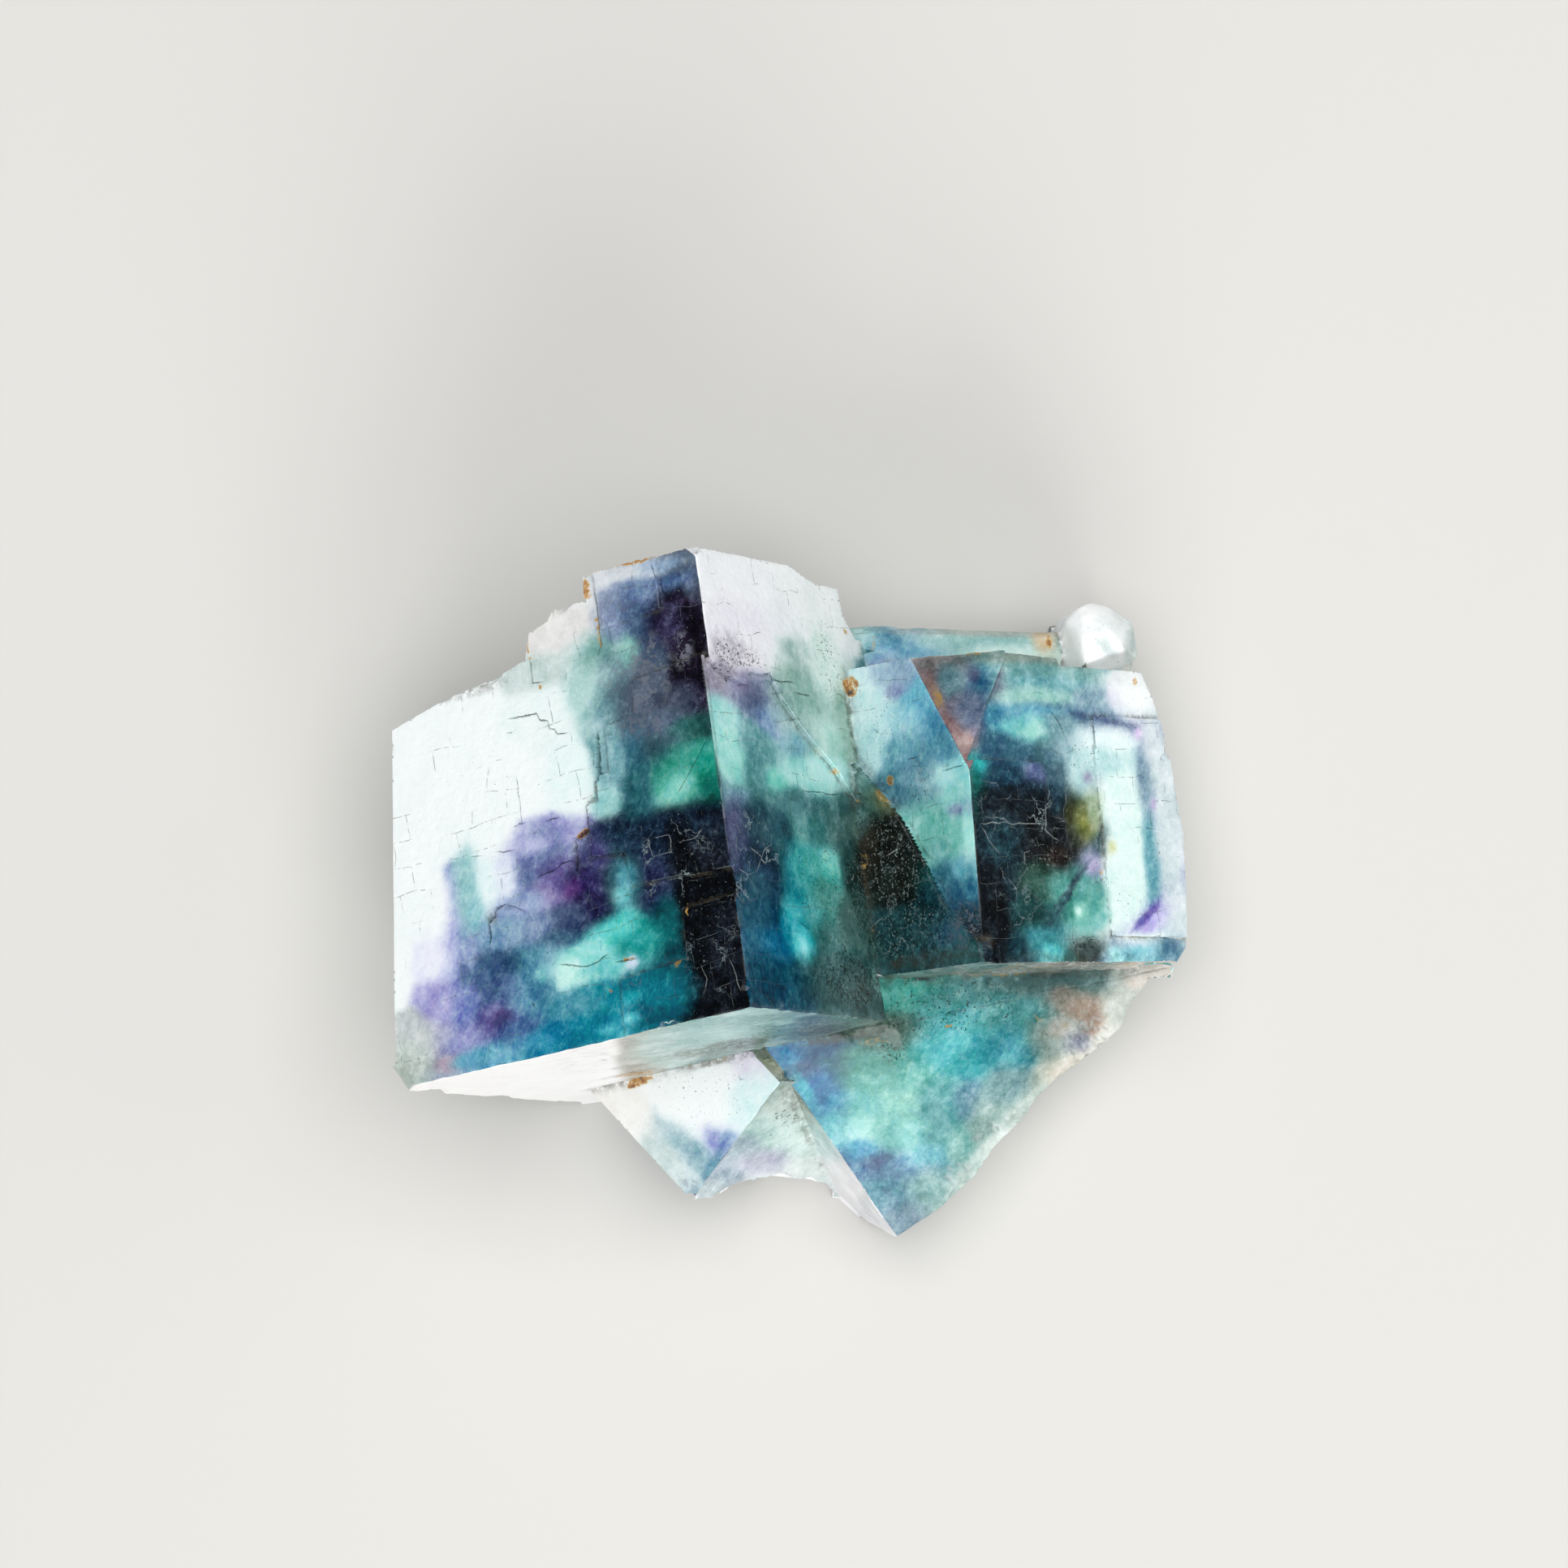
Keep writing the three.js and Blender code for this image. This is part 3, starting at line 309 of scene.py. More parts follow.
# ---- Small front crystal and foot -----------------------------------------------------
# A small cube standing on its corner below the left crystal's underside, milky white, and
# a pale foot between it and the spur.
ZONES["front_left"] = "f8fdfc", [
    (-2.5, 3.6, 2.2, 1.8, "fbfefd"), (-1.6, 5.5, 0.7, 0.4, "e8e2f0"), (-0.5, 4.6, 0.7, 1, "dcf4f4"),
    (-0.7, 2.5, 0.5, 0.35, "a2aad8"), (-0.3, 2.8, 0.25, 0.4, "8ca4d0"), (-1.4, 1.3, 1, 0.45, "a4c2ca"),
    (-0.9, 1.6, 0.5, 0.3, "8cb0be"), (-0.25, 1.7, 0.2, 0.6, "5c8ea8"), (-1.7, 0.7, 0.9, 0.3, "c6d6d4"),
    (-0.5, 0.8, 0.4, 0.25, "c2d4d8"), (-4.2, 0.8, 1, 0.6, "f4f2ee")]
ZONES["toe"] = "b4c8c2", [    # its right face, [x, y] in the cluster's frame
    (-0.5, -7.4, 0.6, 0.6, "a8b8b0"), (-0.8, -8.5, 0.9, 0.7, "b4ccc6"), (0.3, -8.7, 0.5, 0.7, "c8dad4"),
    (-1.7, -9, 0.6, 0.5, "a4b4bc"), (-2.4, -9.8, 0.6, 0.4, "9cacb8"), (-1.1, -9.5, 0.9, 0.4, "b8bac8"),
    (0.6, -9.8, 0.7, 0.6, "ced8d4"), (-0.4, -10.2, 1, 0.2, "d2d8d8"), (-3.1, -10.4, 0.5, 0.3, "b0bcbe")]
MARKS["toe"] = {
    "dots": [(-0.2, -7.9, 0.6, 0.5, 0.9), (-0.6, -8.8, 1.6, 1, 0.3)],
    "grime": [(0.3, -8.1, 0.12, 1.4, 0.8, 25), (-0.2, -7.1, 0.2, 0.4, 0.6)]}
MARKS["front_left"] = {
    "iron": [(-4.35, 1.95, 0.26, 1, 0.72, -29), (-4.5, 1.45, 0.12, 0.2, 1, -29),
        (-2.5, 4.7, 0.16, 2, 0.3, -37)],
    "dots": [(-2.5, 4, 2.5, 2.5, 0.35)],
    "grime": [(-2.5, 4.7, 0.2, 2.1, 1, -37)],
    "frost": [(-0.6, 0.5, 0.4, 0.4, 0.5)]}
CRACKS["front_left"] = [
    (0.03, 0.08, [(-1.5, 5.1), (-1.3, 4.95), (-1.2, 5.1)])]


# ---- Spur -----------------------------------------------------------------------------
# The low crystal in front, broken all round: turquoise inside, its left flank and its
# right rim splintered white in shell-shaped flakes.
ZONES["spur"] = "62b4b2", [
    (4, -3.3, 1, 0.5, "64bcae"), (5.6, -3.5, 1, 0.5, "58a29e"), (7.4, -3.6, 1.4, 0.7, "549494"),
    (9, -3.1, 2, 0.4, "5c7e7c"), (6.4, -4.6, 1.6, 0.7, "5cb0b2"), (8, -4.6, 1.2, 0.8, "589c9c"),
    (2.5, -4.6, 1.6, 0.4, "55675a"), (1.2, -5.3, 1, 0.3, "2c6490"), (0, -5.5, 0.5, 0.3, "2c7cb0"),
    (1.9, -5.8, 0.6, 0.4, "3c6c84"), (0.7, -6.1, 0.5, 0.35, "4c6890"), (1.1, -6.6, 0.6, 0.6, "4484b8"),
    (0.5, -6.8, 0.2, 0.6, "62b8c8", 30), (2.6, -5.5, 0.9, 0.4, "4f8f84"),
    (3.2, -6.2, 1.5, 0.7, "5ca69a"), (4.7, -6.2, 0.8, 0.6, "68b0a6"), (6.2, -5.6, 1.4, 0.8, "56b2b8"),
    (7.6, -5.4, 0.8, 0.7, "56a4b0"), (1.5, -7.4, 0.4, 0.5, "3c86ac"), (1.6, -8, 0.5, 0.4, "5cacb6"),
    (2.5, -7.5, 0.8, 0.5, "72b8b4"), (3.9, -7.2, 0.7, 0.35, "90c8bc"), (3, -8.2, 1.1, 0.5, "96cac2"),
    (4.2, -8.5, 0.9, 0.5, "7cbcb6"), (5.3, -8.6, 0.7, 0.5, "68aeae"), (5.5, -7.3, 0.8, 0.7, "6caaac"),
    (6.4, -7.2, 0.5, 0.6, "6490a2"), (2.5, -9.1, 0.5, 0.4, "4694b8"), (3.1, -9.5, 0.8, 0.3, "4c6e96"),
    (4.2, -9.7, 0.9, 0.4, "5484a8"), (3.5, -10.6, 0.8, 0.6, "5a8ea0"), (4.9, -9.3, 0.6, 0.4, "6cb0bc"),
    (5, -10.3, 0.7, 0.6, "8ab0ae"), (3.9, -11.5, 0.6, 0.5, "7c98a8"), (6.1, -9, 0.6, 0.7, "8cbab4"),
    (7, -7.9, 0.6, 0.8, "9ab4ae"), (7.7, -6.7, 0.7, 0.6, "80a4a6"),
    (7.4, -8.7, 1.5, 0.28, "c2cec8", 44), (6.3, -9.9, 0.8, 0.25, "b8c8c2", 48),
    (8.7, -7.2, 1, 0.3, "b4c2ba", 46), (9.4, -5, 0.8, 0.6, "98a8a0"),
    (9.9, -6.1, 0.9, 0.3, "ccc6b8", 34), (9.7, -3.5, 0.5, 0.35, "9c968c"),
    (10.5, -3.9, 0.6, 0.35, "b4a294"), (10.9, -4.7, 0.4, 0.4, "b8a090"),
    (9.6, -4.7, 0.4, 0.4, "9a988e"), (10.3, -5.2, 0.5, 0.35, "8e92a0"),
    (11.4, -5, 0.7, 0.4, "d6d6ce", 45), (11.9, -3.8, 0.6, 0.7, "c2c8c0"),
    (12.7, -3, 0.7, 0.3, "d2cac0")]
MARKS["spur"] = {
    "grime": [(1, -5, 2.2, 0.16, 1, 5), (3.3, -5.2, 0.8, 0.25, 0.8), (7.5, -2.7, 4.6, 0.2, 0.9)],
    "iron": [(3, -5.1, 1, 0.2, 0.35), (7, -2.7, 3, 0.2, 0.4), (5.6, -4.55, 0.22, 0.1, 0.5),
        (10, -4.6, 1, 1, 0.25), (8.8, -4.3, 0.5, 0.1, 0.35, -40)],
    "dots": [(5.5, -3.8, 3.5, 1.4, 0.7), (3.6, -5.4, 0.8, 0.5, 0.9)],
    "scratch": [(5, -4.2, 4.5, 1.5, 0.6), (9, -4, 3, 2.5, 0.5), (2, -8, 1.6, 2, 0.3)],
    "flake": [(7.4, -8.5, 1.6, 0.6, 1, 44), (10.3, -4.8, 1.6, 1.2, 1), (6, -9.9, 0.9, 0.5, 1, 46)],
    "frost": [(3.9, -7.3, 1, 0.6, 0.2)]}
# Its left flank, a narrow pale strip down to the tip.
ZONES["flank"] = "e2e4e4", [
    (2, -10.2, 0.8, 1.6, "f4f2f4", 35), (0.9, -8.6, 0.3, 1, "c4dcd8", 35),
    # The pale zone at [-0.7, -6] is painted light: the facet lies in shade, and its grey-olive is
    # lightened to make up for it.
    (-0.2, -6.8, 0.5, 1.1, "8f9c90", 35), (-0.7, -6, 0.4, 0.5, "c6cab6", 35),
    (2.9, -11.3, 0.6, 0.6, "e4e4e6")]
MARKS["flank"] = {
    "fibre": [(0.8, -8.6, 1.4, 3, 0.5)],
    "grime": [(-0.3, -6.6, 0.3, 1, 0.4, 35)],
    "dots": [(-0.2, -7, 0.6, 1.2, 0.9)]}


# ---- Cluster body ---------------------------------------------------------------------
# Natural fluorite, calcium fluoride: cubes that grew into each other on a rock wall and
# were broken off it. Cube faces are flat with low growth layers, their edges are nibbled,
# broken places are shell-shaped, and cleavage cracks run in right-angled steps.
FINE, SIDE, BACK = 0.14, 0.28, 0.9    # triangle sides: faces turned up, walls, flat back
WORN = 0.06                           # width of the worn strip along a sharp edge
THIN = 0.3       # a growth layer's rim is narrower; wear and dirt leave its lines almost alone
SHARP = math.radians(16)    # a stronger fold is an edge, or a crease where it goes inwards
FAR = 9.0        # a distance too long to matter
STEP = 0.06      # a crack's line is cut this short


def flat_faces(node):
    """Corners in mm, flat faces as rings of corners, their normals, and the signed fold
    angle of each edge: the solid's triangles that share a plane are joined first."""
    bm = bmesh.new()
    bm.from_mesh(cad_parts[node].data)
    bmesh.ops.remove_doubles(bm, verts=bm.verts, dist=2e-6)
    bmesh.ops.dissolve_limit(bm, angle_limit=math.radians(0.6), verts=bm.verts, edges=bm.edges)
    bm.verts.index_update()
    corners = np.array([v.co for v in bm.verts]) / MM
    rings = [[v.index for v in f.verts] for f in bm.faces]
    normals = np.array([f.normal for f in bm.faces])
    folds = {tuple(sorted(v.index for v in e.verts)): e.calc_face_angle_signed(0.0)
             for e in bm.edges}
    bm.free()
    return corners, rings, normals, folds


def to_segments(p, a, b):
    """Distance from each point to each segment a-b: to the foot of the perpendicular, held
    between the segment's ends."""
    ab = b - a
    t = ((p[:, None] - a) * ab).sum(-1) / np.maximum((ab * ab).sum(-1), 1e-12)
    foot = a + np.clip(t, 0, 1)[..., None] * ab
    return np.linalg.norm(p[:, None] - foot, axis=-1)


def inside(p, ring):
    """True where a line from the point to the right crosses the ring an odd number of times."""
    a, b = ring, np.roll(ring, -1, 0)
    x, y = p[:, :1], p[:, 1:]
    rise = np.where(b[:, 1] == a[:, 1], 1e-12, b[:, 1] - a[:, 1])
    at = a[:, 0] + (y - a[:, 1]) / rise * (b[:, 0] - a[:, 0])
    crosses = ((a[:, 1] > y) != (b[:, 1] > y)) & (x < at)
    return crosses.sum(1) % 2 == 1


def hexagons(low, high, step):
    """Points in rows a little under one step apart, every other row moved half a step,
    each point shaken by a sixth of a step."""
    rows = np.arange(low[1], high[1], step * 0.866)
    x, y = np.meshgrid(np.arange(low[0], high[0], step), rows)
    x = x + (np.arange(len(rows)) % 2)[:, None] * step / 2
    p = np.stack([x.ravel(), y.ravel()], 1)
    return p + random.uniform(-step / 6, step / 6, p.shape)


def hashed(i, j, k, seed):
    """A repeatable value from 0 to 1 for each whole-number point."""
    h = i * np.uint32(374761393) + j * np.uint32(668265263) + k * np.uint32(2246822519)
    h = h + np.uint32(seed * 974711 % 4294967296)
    h = (h ^ (h >> np.uint32(13))) * np.uint32(1274126177)
    return (h ^ (h >> np.uint32(16))).astype(float) / 4294967296


def noise(p, per_mm, seed, octaves=3):
    """Cloud noise, 0 to 1: random values on a cubic grid blended smoothly between grid
    points, each octave twice as fine and half as strong as the last."""
    total, weight = np.zeros(len(p)), 0
    for octave in range(octaves):
        q = p * per_mm * 2 ** octave + 57.3 * (octave + 1)
        cell = np.floor(q)
        t = q - cell
        t = t * t * (3 - 2 * t)
        i, j, k = (cell.astype(np.int64) & 0xFFFFFFFF).astype(np.uint32).T
        value = 0
        for corner in range(8):
            a, b, c = corner & 1, corner >> 1 & 1, corner >> 2
            share = (np.where(a, t[:, 0], 1 - t[:, 0]) * np.where(b, t[:, 1], 1 - t[:, 1])
                     * np.where(c, t[:, 2], 1 - t[:, 2]))
            value = value + share * hashed(i + np.uint32(a), j + np.uint32(b),
                                           k + np.uint32(c), seed + octave)
        total += value * 0.5 ** octave
        weight += 0.5 ** octave
    return total / weight


def smooth(low, high, x):
    """0 below low, 1 above high, an S-shaped curve between."""
    t = np.clip((x - low) / (high - low), 0, 1)
    return t * t * (3 - 2 * t)


def turned(a, b, c):
    """Rotation matrix: about x by a, then y by b, then z by c, each about the turned axis."""
    a, b, c = np.radians([a, b, c])
    about_x = np.array([[1, 0, 0], [0, np.cos(a), -np.sin(a)], [0, np.sin(a), np.cos(a)]])
    about_y = np.array([[np.cos(b), 0, np.sin(b)], [0, 1, 0], [-np.sin(b), 0, np.cos(b)]])
    about_z = np.array([[np.cos(c), -np.sin(c), 0], [np.sin(c), np.cos(c), 0], [0, 0, 1]])
    return about_x @ about_y @ about_z


# Each crystal's front corner in mm and its axes: x along the edge that goes back to the
# right, y up its upright edge, z out of its right-hand face.
CRYSTALS = {"left": ((-1.314, -3.526, 17.7), turned(-22.6, 57.2, 14.6)),
            "right": ((6.516, -2.176, 13.3), turned(-8.9, 41, 5.4)),
            "front": ((-3.584, -10.856, 5.4), turned(64, 40.7, -44))}
# Their faces: the crystal, the axis that sticks out and its sign, the axes read as
# [across, up], and how far the face reaches.
FACES = {"left_left": ("left", 0, -1, (2, 1), (-15.2, -0.5, 0.6, 17)),
         "left_right": ("left", 2, 1, (0, 1), (-0.6, -0.5, 12, 17)),
         "left_under": ("left", 1, -1, (0, 2), (-0.6, -15.5, 16, 0.6)),
         "right_left": ("right", 0, -1, (2, 1), (-9, -0.5, 0.6, 11.5)),
         "right_right": ("right", 2, 1, (0, 1), (-0.6, -0.5, 11.5, 11.5)),
         "front_left": ("front", 0, -1, (2, 1), (-8, -0.6, 0.6, 9.5)),
         "front_right": ("front", 2, 1, (0, 1), (-0.6, -0.6, 9, 9.5))}
# Regions of breakage: which way a face points and how closely, and the lowest and highest
# corner in mm of the box that its middle lies in.
BREAKS = (("back", (0, 0, -1), 0.97, (-20, -20, -1), (20, 20, 0.01)),
          ("split", (-0.1, 0.47, 0.877), 0.99, (-20, -20, 10), (20, 20, 20)),
          ("spur", (0.12, -0.22, 0.97), 0.98, (0.7, -6, -1), (20, -2.2, 9)),
          ("spur", (0.53, 0.72, 0.45), 0.98, (0.7, -6, -1), (20, -2.2, 9)),
          ("spur", (0.15, -0.44, 0.89), 0.98, (0, -20, -1), (20, -4, 20)),
          ("ledge", (0.07, -0.99, 0.09), 0.97, (2, -3.6, -1), (20, 20, 20)),
          ("flank", (-0.75, -0.63, 0.21), 0.93, (0.8, -20, -1), (20, -6, 20)),
          ("flank", (-0.75, -0.63, 0.21), 0.93, (-1.6, -20, 5), (1.2, -5, 20)),
          ("flank", (0.53, 0.72, 0.45), 0.98, (-1.6, -20, 5), (1.2, -5, 20)),
          ("toe", (0.5, -0.69, 0.53), 0.92, (-3.8, -20, -1), (2, -5.6, 9)))


def face_place(name, p):
    """[across, up] of the points on a face, and their height above it."""
    crystal, axis, sign, (across, up), _ = FACES[name]
    corner, axes = CRYSTALS[crystal]
    local = (p - np.array(corner)) @ axes
    return local[:, [across, up]], local[:, axis] * sign


def face_points(name, line):
    """Points of a line drawn [across, up] on a crystal face, in the cluster's frame."""
    crystal, _, _, order, _ = FACES[name]
    corner, axes = CRYSTALS[crystal]
    local = np.zeros((len(line), 3))
    local[:, list(order)] = line
    return np.array(corner) + local @ axes.T


def family(normal, middle):
    """Which surface a flat face belongs to: a region of breakage, else a cube face it is
    parallel to and near, or is a small step or chip on."""
    best, nearest = None, 0.75    # in mm
    for name, (crystal, axis, sign, _, (a0, u0, a1, u1)) in FACES.items():
        (a, u), height = (v[0] for v in face_place(name, middle[None]))
        out = CRYSTALS[crystal][1][:, axis] * sign
        gap = abs(height) + (0 if normal @ out > 0.97 else 0.25)
        if a0 < a < a1 and u0 < u < u1 and gap < nearest and normal @ out > -0.1:
            best, nearest = name, gap
    x, y, z = middle
    if y < -8 and -3.5 < x < 3.7 and abs(normal[2]) < 0.25:
        return "flank"    # the walls at the spur's tip
    for name, facing, closeness, low, high in BREAKS:
        if normal @ facing > closeness and (low < middle).all() and (middle < high).all():
            return name
    if x > 9 and y > 7.6 and (best is None or normal @ CRYSTALS["right"][1][:, 2] < 0.97):
        return "knob"
    if y < -2.2 and x > -1.5 and z < 9.4 and normal[2] > -0.3 and best in (None, "right_right"):
        return "spur"
    if best and best != "front_right":
        return best
    return "rear" if y > 7 and x > 1.2 and z < 9.5 and normal[2] > 0.2 else "broken"


def crack_rows(points, width, depth):
    """Points along a crack and beside it: the line is cut short, shaken a little and led
    astray by 0.02 mm, its tone comes and goes, and each row stands a fixed share of the
    crack's width to one side. Returns the points and for each its [groove depth, tone]."""
    ends = np.linalg.norm(np.diff(points, axis=0), axis=1)
    along = np.concatenate([[0], np.cumsum(ends)])
    at = np.linspace(0, along[-1], max(3, int(along[-1] / STEP)))
    line = np.stack([np.interp(at, along, points[:, k]) for k in (0, 1)], 1)
    line = line + random.uniform(-0.3, 0.3, line.shape) * width
    knots = np.arange(0, len(at) + 5, 5)
    for k in (0, 1):
        line[:, k] += np.interp(range(len(at)), knots, random.normal(0, 0.018, len(knots)))
    tone = np.sign(depth) * np.interp(range(len(at)), knots, random.uniform(0.3, 1, len(knots)))
    side = np.gradient(line, axis=0)[:, ::-1] * [-1, 1]
    side /= np.maximum(np.linalg.norm(side, axis=1), 1e-9)[:, None]
    taper = np.minimum(1, np.minimum(at, along[-1] - at) / 0.25 + 0.25)
    wide = width * taper * random.uniform(0.6, 1.4, len(at))
    rows, values = [], []
    for share, cut in ((-1, 0), (-0.45, 0.8), (0.45, 0.8), (1, 0)):
        rows.append(line + side * (share * wide)[:, None])
        values.append(np.stack([depth * cut * taper, tone * cut * taper], 1))
    return np.concatenate(rows), np.concatenate(values)


random = np.random.default_rng(7)
corners, rings, normals, folds = flat_faces("fluorite_cluster")
families, sizes, breadths = [], [], []
edges = {}    # for each edge: finest triangle side, sum of normals, narrowest face beside it
for ring, normal in zip(rings, normals):
    p = corners[ring]
    families.append(family(normal, p.mean(0)))
    sizes.append(BACK if families[-1] == "back" else FINE if normal[2] > 0.02 else SIDE)
    area = abs(np.cross(p - p[0], np.roll(p, -1, 0) - p[0]).sum(0) @ normal)
    breadths.append(area / np.linalg.norm(p - np.roll(p, -1, 0), axis=1).sum())
    for i, j in zip(ring, ring[1:] + ring[:1]):
        size, pull, breadth = edges.get((min(i, j), max(i, j)), (FAR, 0, FAR))
        edges[min(i, j), max(i, j)] = (min(size, sizes[-1]), pull + normal,
                                       min(breadth, breadths[-1]))

# Both faces of an edge share the points along it, so the mesh stays closed.
points, pulls, chains, total = [corners], [np.zeros_like(corners)], {}, len(corners)
for (i, j), (size, pull, _) in edges.items():
    count = max(1, math.ceil(np.linalg.norm(corners[i] - corners[j]) / size))
    share = np.linspace(0, 1, count + 1)[1:-1, None]
    points.append(corners[i] * (1 - share) + corners[j] * share)
    pulls.append(np.tile(pull, (count - 1, 1)))
    chains[i, j] = [i, *range(total, total + count - 1), j]
    total += count - 1
for ring, normal in zip(rings, normals):
    pulls[0][ring] += normal
on_edges = np.concatenate(points)

# For each point: how far it is from a sharp edge and from a crease, and its crack's depth
# and tone.
facts = [np.tile([FAR, FAR, 0, 0], (total, 1))]
for key, chain in chains.items():
    if abs(folds[key]) > SHARP:
        facts[0][chain, 0 if folds[key] > 0 else 1] = 0
triangles, owner = [], []
for face, (ring, normal, size) in enumerate(zip(rings, normals, sizes)):
    pairs = list(zip(ring, ring[1:] + ring[:1]))
    keys = [(min(pair), max(pair)) for pair in pairs]
    outline = [k for pair, key in zip(pairs, keys)
               for k in chains[key][::1 if pair == key else -1][:-1]]
    fold = np.array([folds[key] for key in keys])
    broad = np.array([edges[key][2] for key in keys]) > THIN
    i, j = max(pairs, key=lambda pair: np.linalg.norm(corners[pair[1]] - corners[pair[0]]))
    side = corners[j] - corners[i]
    side = side / np.linalg.norm(side)
    side -= normal * (side @ normal)
    flat = np.stack([side, np.cross(normal, side)], 1)
    middle = corners[ring].mean(0)
    a = (corners[ring] - middle) @ flat
    b = np.roll(a, -1, 0)
    extra, values, lines = [], [np.zeros((0, 2))], []
    for width, depth, *drawn in CRACKS.get(families[face], []):
        for line in drawn:
            crack = (face_points(families[face], line) - middle) @ flat
            lines.append((crack[:-1], crack[1:], width))
            rows, value = crack_rows(crack, width, depth)
            keep = inside(rows, a)
            extra.append(rows[keep])
            values.append(value[keep])
    for p, q in zip(a[fold > SHARP], b[fold > SHARP]):
        if size < BACK:
            length = np.linalg.norm(q - p)
            count = max(1, int(length / size))
            inward = np.array([p[1] - q[1], q[0] - p[0]]) / length
            extra.append(p + (q - p) * (np.arange(0.5, count) / count)[:, None] + inward * WORN)
    grid = hexagons(a.min(0), a.max(0), size)
    for start, end, width in lines:
        grid = grid[to_segments(grid, start, end).min(1) > 2.2 * width]
    extra = np.concatenate([*extra, grid])
    values = np.concatenate(values)
    values = np.concatenate([values, np.zeros((len(extra) - len(values), 2))])
    gaps = to_segments(extra, a, b)
    fixed = np.arange(len(extra)) < len(extra) - len(grid)    # cracks and worn strips
    clear = np.where(fixed, 0.02, 0.55 * size)
    keep = inside(extra, a) & (gaps.min(1) > clear)
    extra, values, gaps = extra[keep], values[keep], gaps[keep]
    facts.append(np.column_stack(
        [gaps.min(1, initial=FAR, where=broad & (fold > SHARP)),
         gaps.min(1, initial=FAR, where=broad & (fold < -SHARP)), values]))
    ids = np.array(outline + list(range(total, total + len(extra))))
    total += len(extra)
    points.append(middle + extra @ flat.T)
    pulls.append(np.tile(normal, (len(extra), 1)))
    laid = np.concatenate([(on_edges[outline] - middle) @ flat, extra])
    found = delaunay_2d_cdt([Vector(p) for p in laid], [], [list(range(len(outline)))], 1, 1e-7)
    made = np.array([f for f in found[2] if len(f) == 3])
    triangles.append(ids[np.array([o[0] for o in found[3]])[made]])
    owner.append(np.full(len(made), face))

# Wear and relief in mm, nearly all of it inwards: nibbled edges, low waves on the cube
# faces, shell-shaped hollows where the crystal broke, and the grooves of the cracks.
WAVE, HOLLOW, RIPPLE, NIBBLE, CHIP, FLAKE = 0.02, 0.16, 0.09, 0.06, 0.22, 0.13
RIM, DIRT = 0.05, 0.2    # how far wear and the painted edge highlight reach from an edge, and dirt from an angle
ROUGH = {"broken": 1.0, "spur": 0.45, "knob": 0.6, "rear": 0.45, "flank": 0.5, "toe": 0.3,
         "split": 0.35, "ledge": 0.8, "back": 0}
points, pull = np.concatenate(points), np.concatenate(pulls)
triangles, owner = np.concatenate(triangles), np.concatenate(owner)
to_edge, to_crease, cut, line_tone = np.concatenate(facts).T
out = pull / np.maximum(np.linalg.norm(pull, axis=1), 1e-9)[:, None]
layer = np.array(families)[owner]
rough = np.zeros(total)
for name, amount in ROUGH.items():
    rough[np.unique(triangles[layer == name])] = amount
flat_back = np.unique(triangles[layer == "back"])
hollows = 1 - np.abs(2 * noise(points, 0.55, 5, 3) - 1)
ripple = noise(points, 2.3, 9, 3)
nibble = noise(points, 1.7, 21, 3)
depth = WAVE * noise(points, 0.9, 13, 3)
depth += rough * (HOLLOW * smooth(0.55, 1, hollows) + RIPPLE * ripple)
depth += (0.015 + NIBBLE * smooth(0.35, 0.75, nibble)) * np.exp(-(to_edge / RIM) ** 2)
depth += np.maximum(0, CHIP * smooth(0.6, 0.8, noise(points, 0.8, 31, 2)) - 0.8 * to_edge)
depth += cut


def spot(place, across, up, wide, high, angle=0, power=2):
    """How far out each point lies in a spot: 0 in its middle, 1 on its outline."""
    c, s = math.cos(math.radians(angle)), math.sin(math.radians(angle))
    local = (place - [across, up]) @ np.array([[c, -s], [s, c]])
    return (np.abs(local / [wide, high]) ** power).sum(1) ** (1 / power)


def placed(name, p):
    """The points on the surface its zones and marks are drawn on."""
    if name in ("ledge", "left_under"):
        return p[:, [0, 2]]
    if name in FACES or name == "dark_layer":
        return face_place("right_left" if name == "dark_layer" else name, p)[0]
    return p[:, :2]


# Marks of each kind, painted over the surface they lie on.
marked = {kind: np.zeros(total)
          for kind in ("grime", "frost", "iron", "dots", "scratch", "fibre", "flake")}
patches = noise(points, 1.7, 111, 3)
wisps = 0.6 * noise(points, 1.0, 71, 4) + 0.4 * noise(points * [0.6, 1.6, 1.0], 2.6, 73, 3)
drift = np.stack([noise(points, 0.7, 81, 3), noise(points, 0.7, 91, 3)], 1) - 0.5
height = face_place("right_left", points[triangles].mean(1))[1]
layer[(layer == "right_left") & (height > 0.2)] = "dark_layer"
for name, kinds in MARKS.items():
    used = np.unique(triangles[layer == name])
    place = placed(name, points[used]) + 0.25 * drift[used]
    for kind, rows in kinds.items():
        ragged = (1.3 if kind == "iron" else 0.8) * (wisps[used] - 0.5)
        for across, up, wide, high, strength, *angle in rows:
            reach = spot(place, across, up, wide, high, *angle) + ragged
            share = strength * (1 - smooth(0.5, 1.15, reach))
            marked[kind][used] = np.maximum(marked[kind][used], share)
for kind in ("scratch", "fibre"):
    marked[kind] *= smooth(0.47, 0.58, patches)    # hair lines come in stretches

# Shell-shaped flakes on the broken rim: steps along the contours of a slow noise, each
# rising gently and dropping sharply.
swell = noise(points, 0.5, 101, 2) * 9 + noise(points, 2.5, 103, 2)
step = swell - np.floor(swell)
flake = marked["flake"] + 0.35 * (rough > 0.9)
depth += FLAKE * flake * step
brink = flake * np.exp(-((1 - step) / 0.12) ** 2)
depth[flat_back] = 0.0
moved = points - out * depth[:, None]
moved[:, 2] = np.maximum(moved[:, 2], 0)


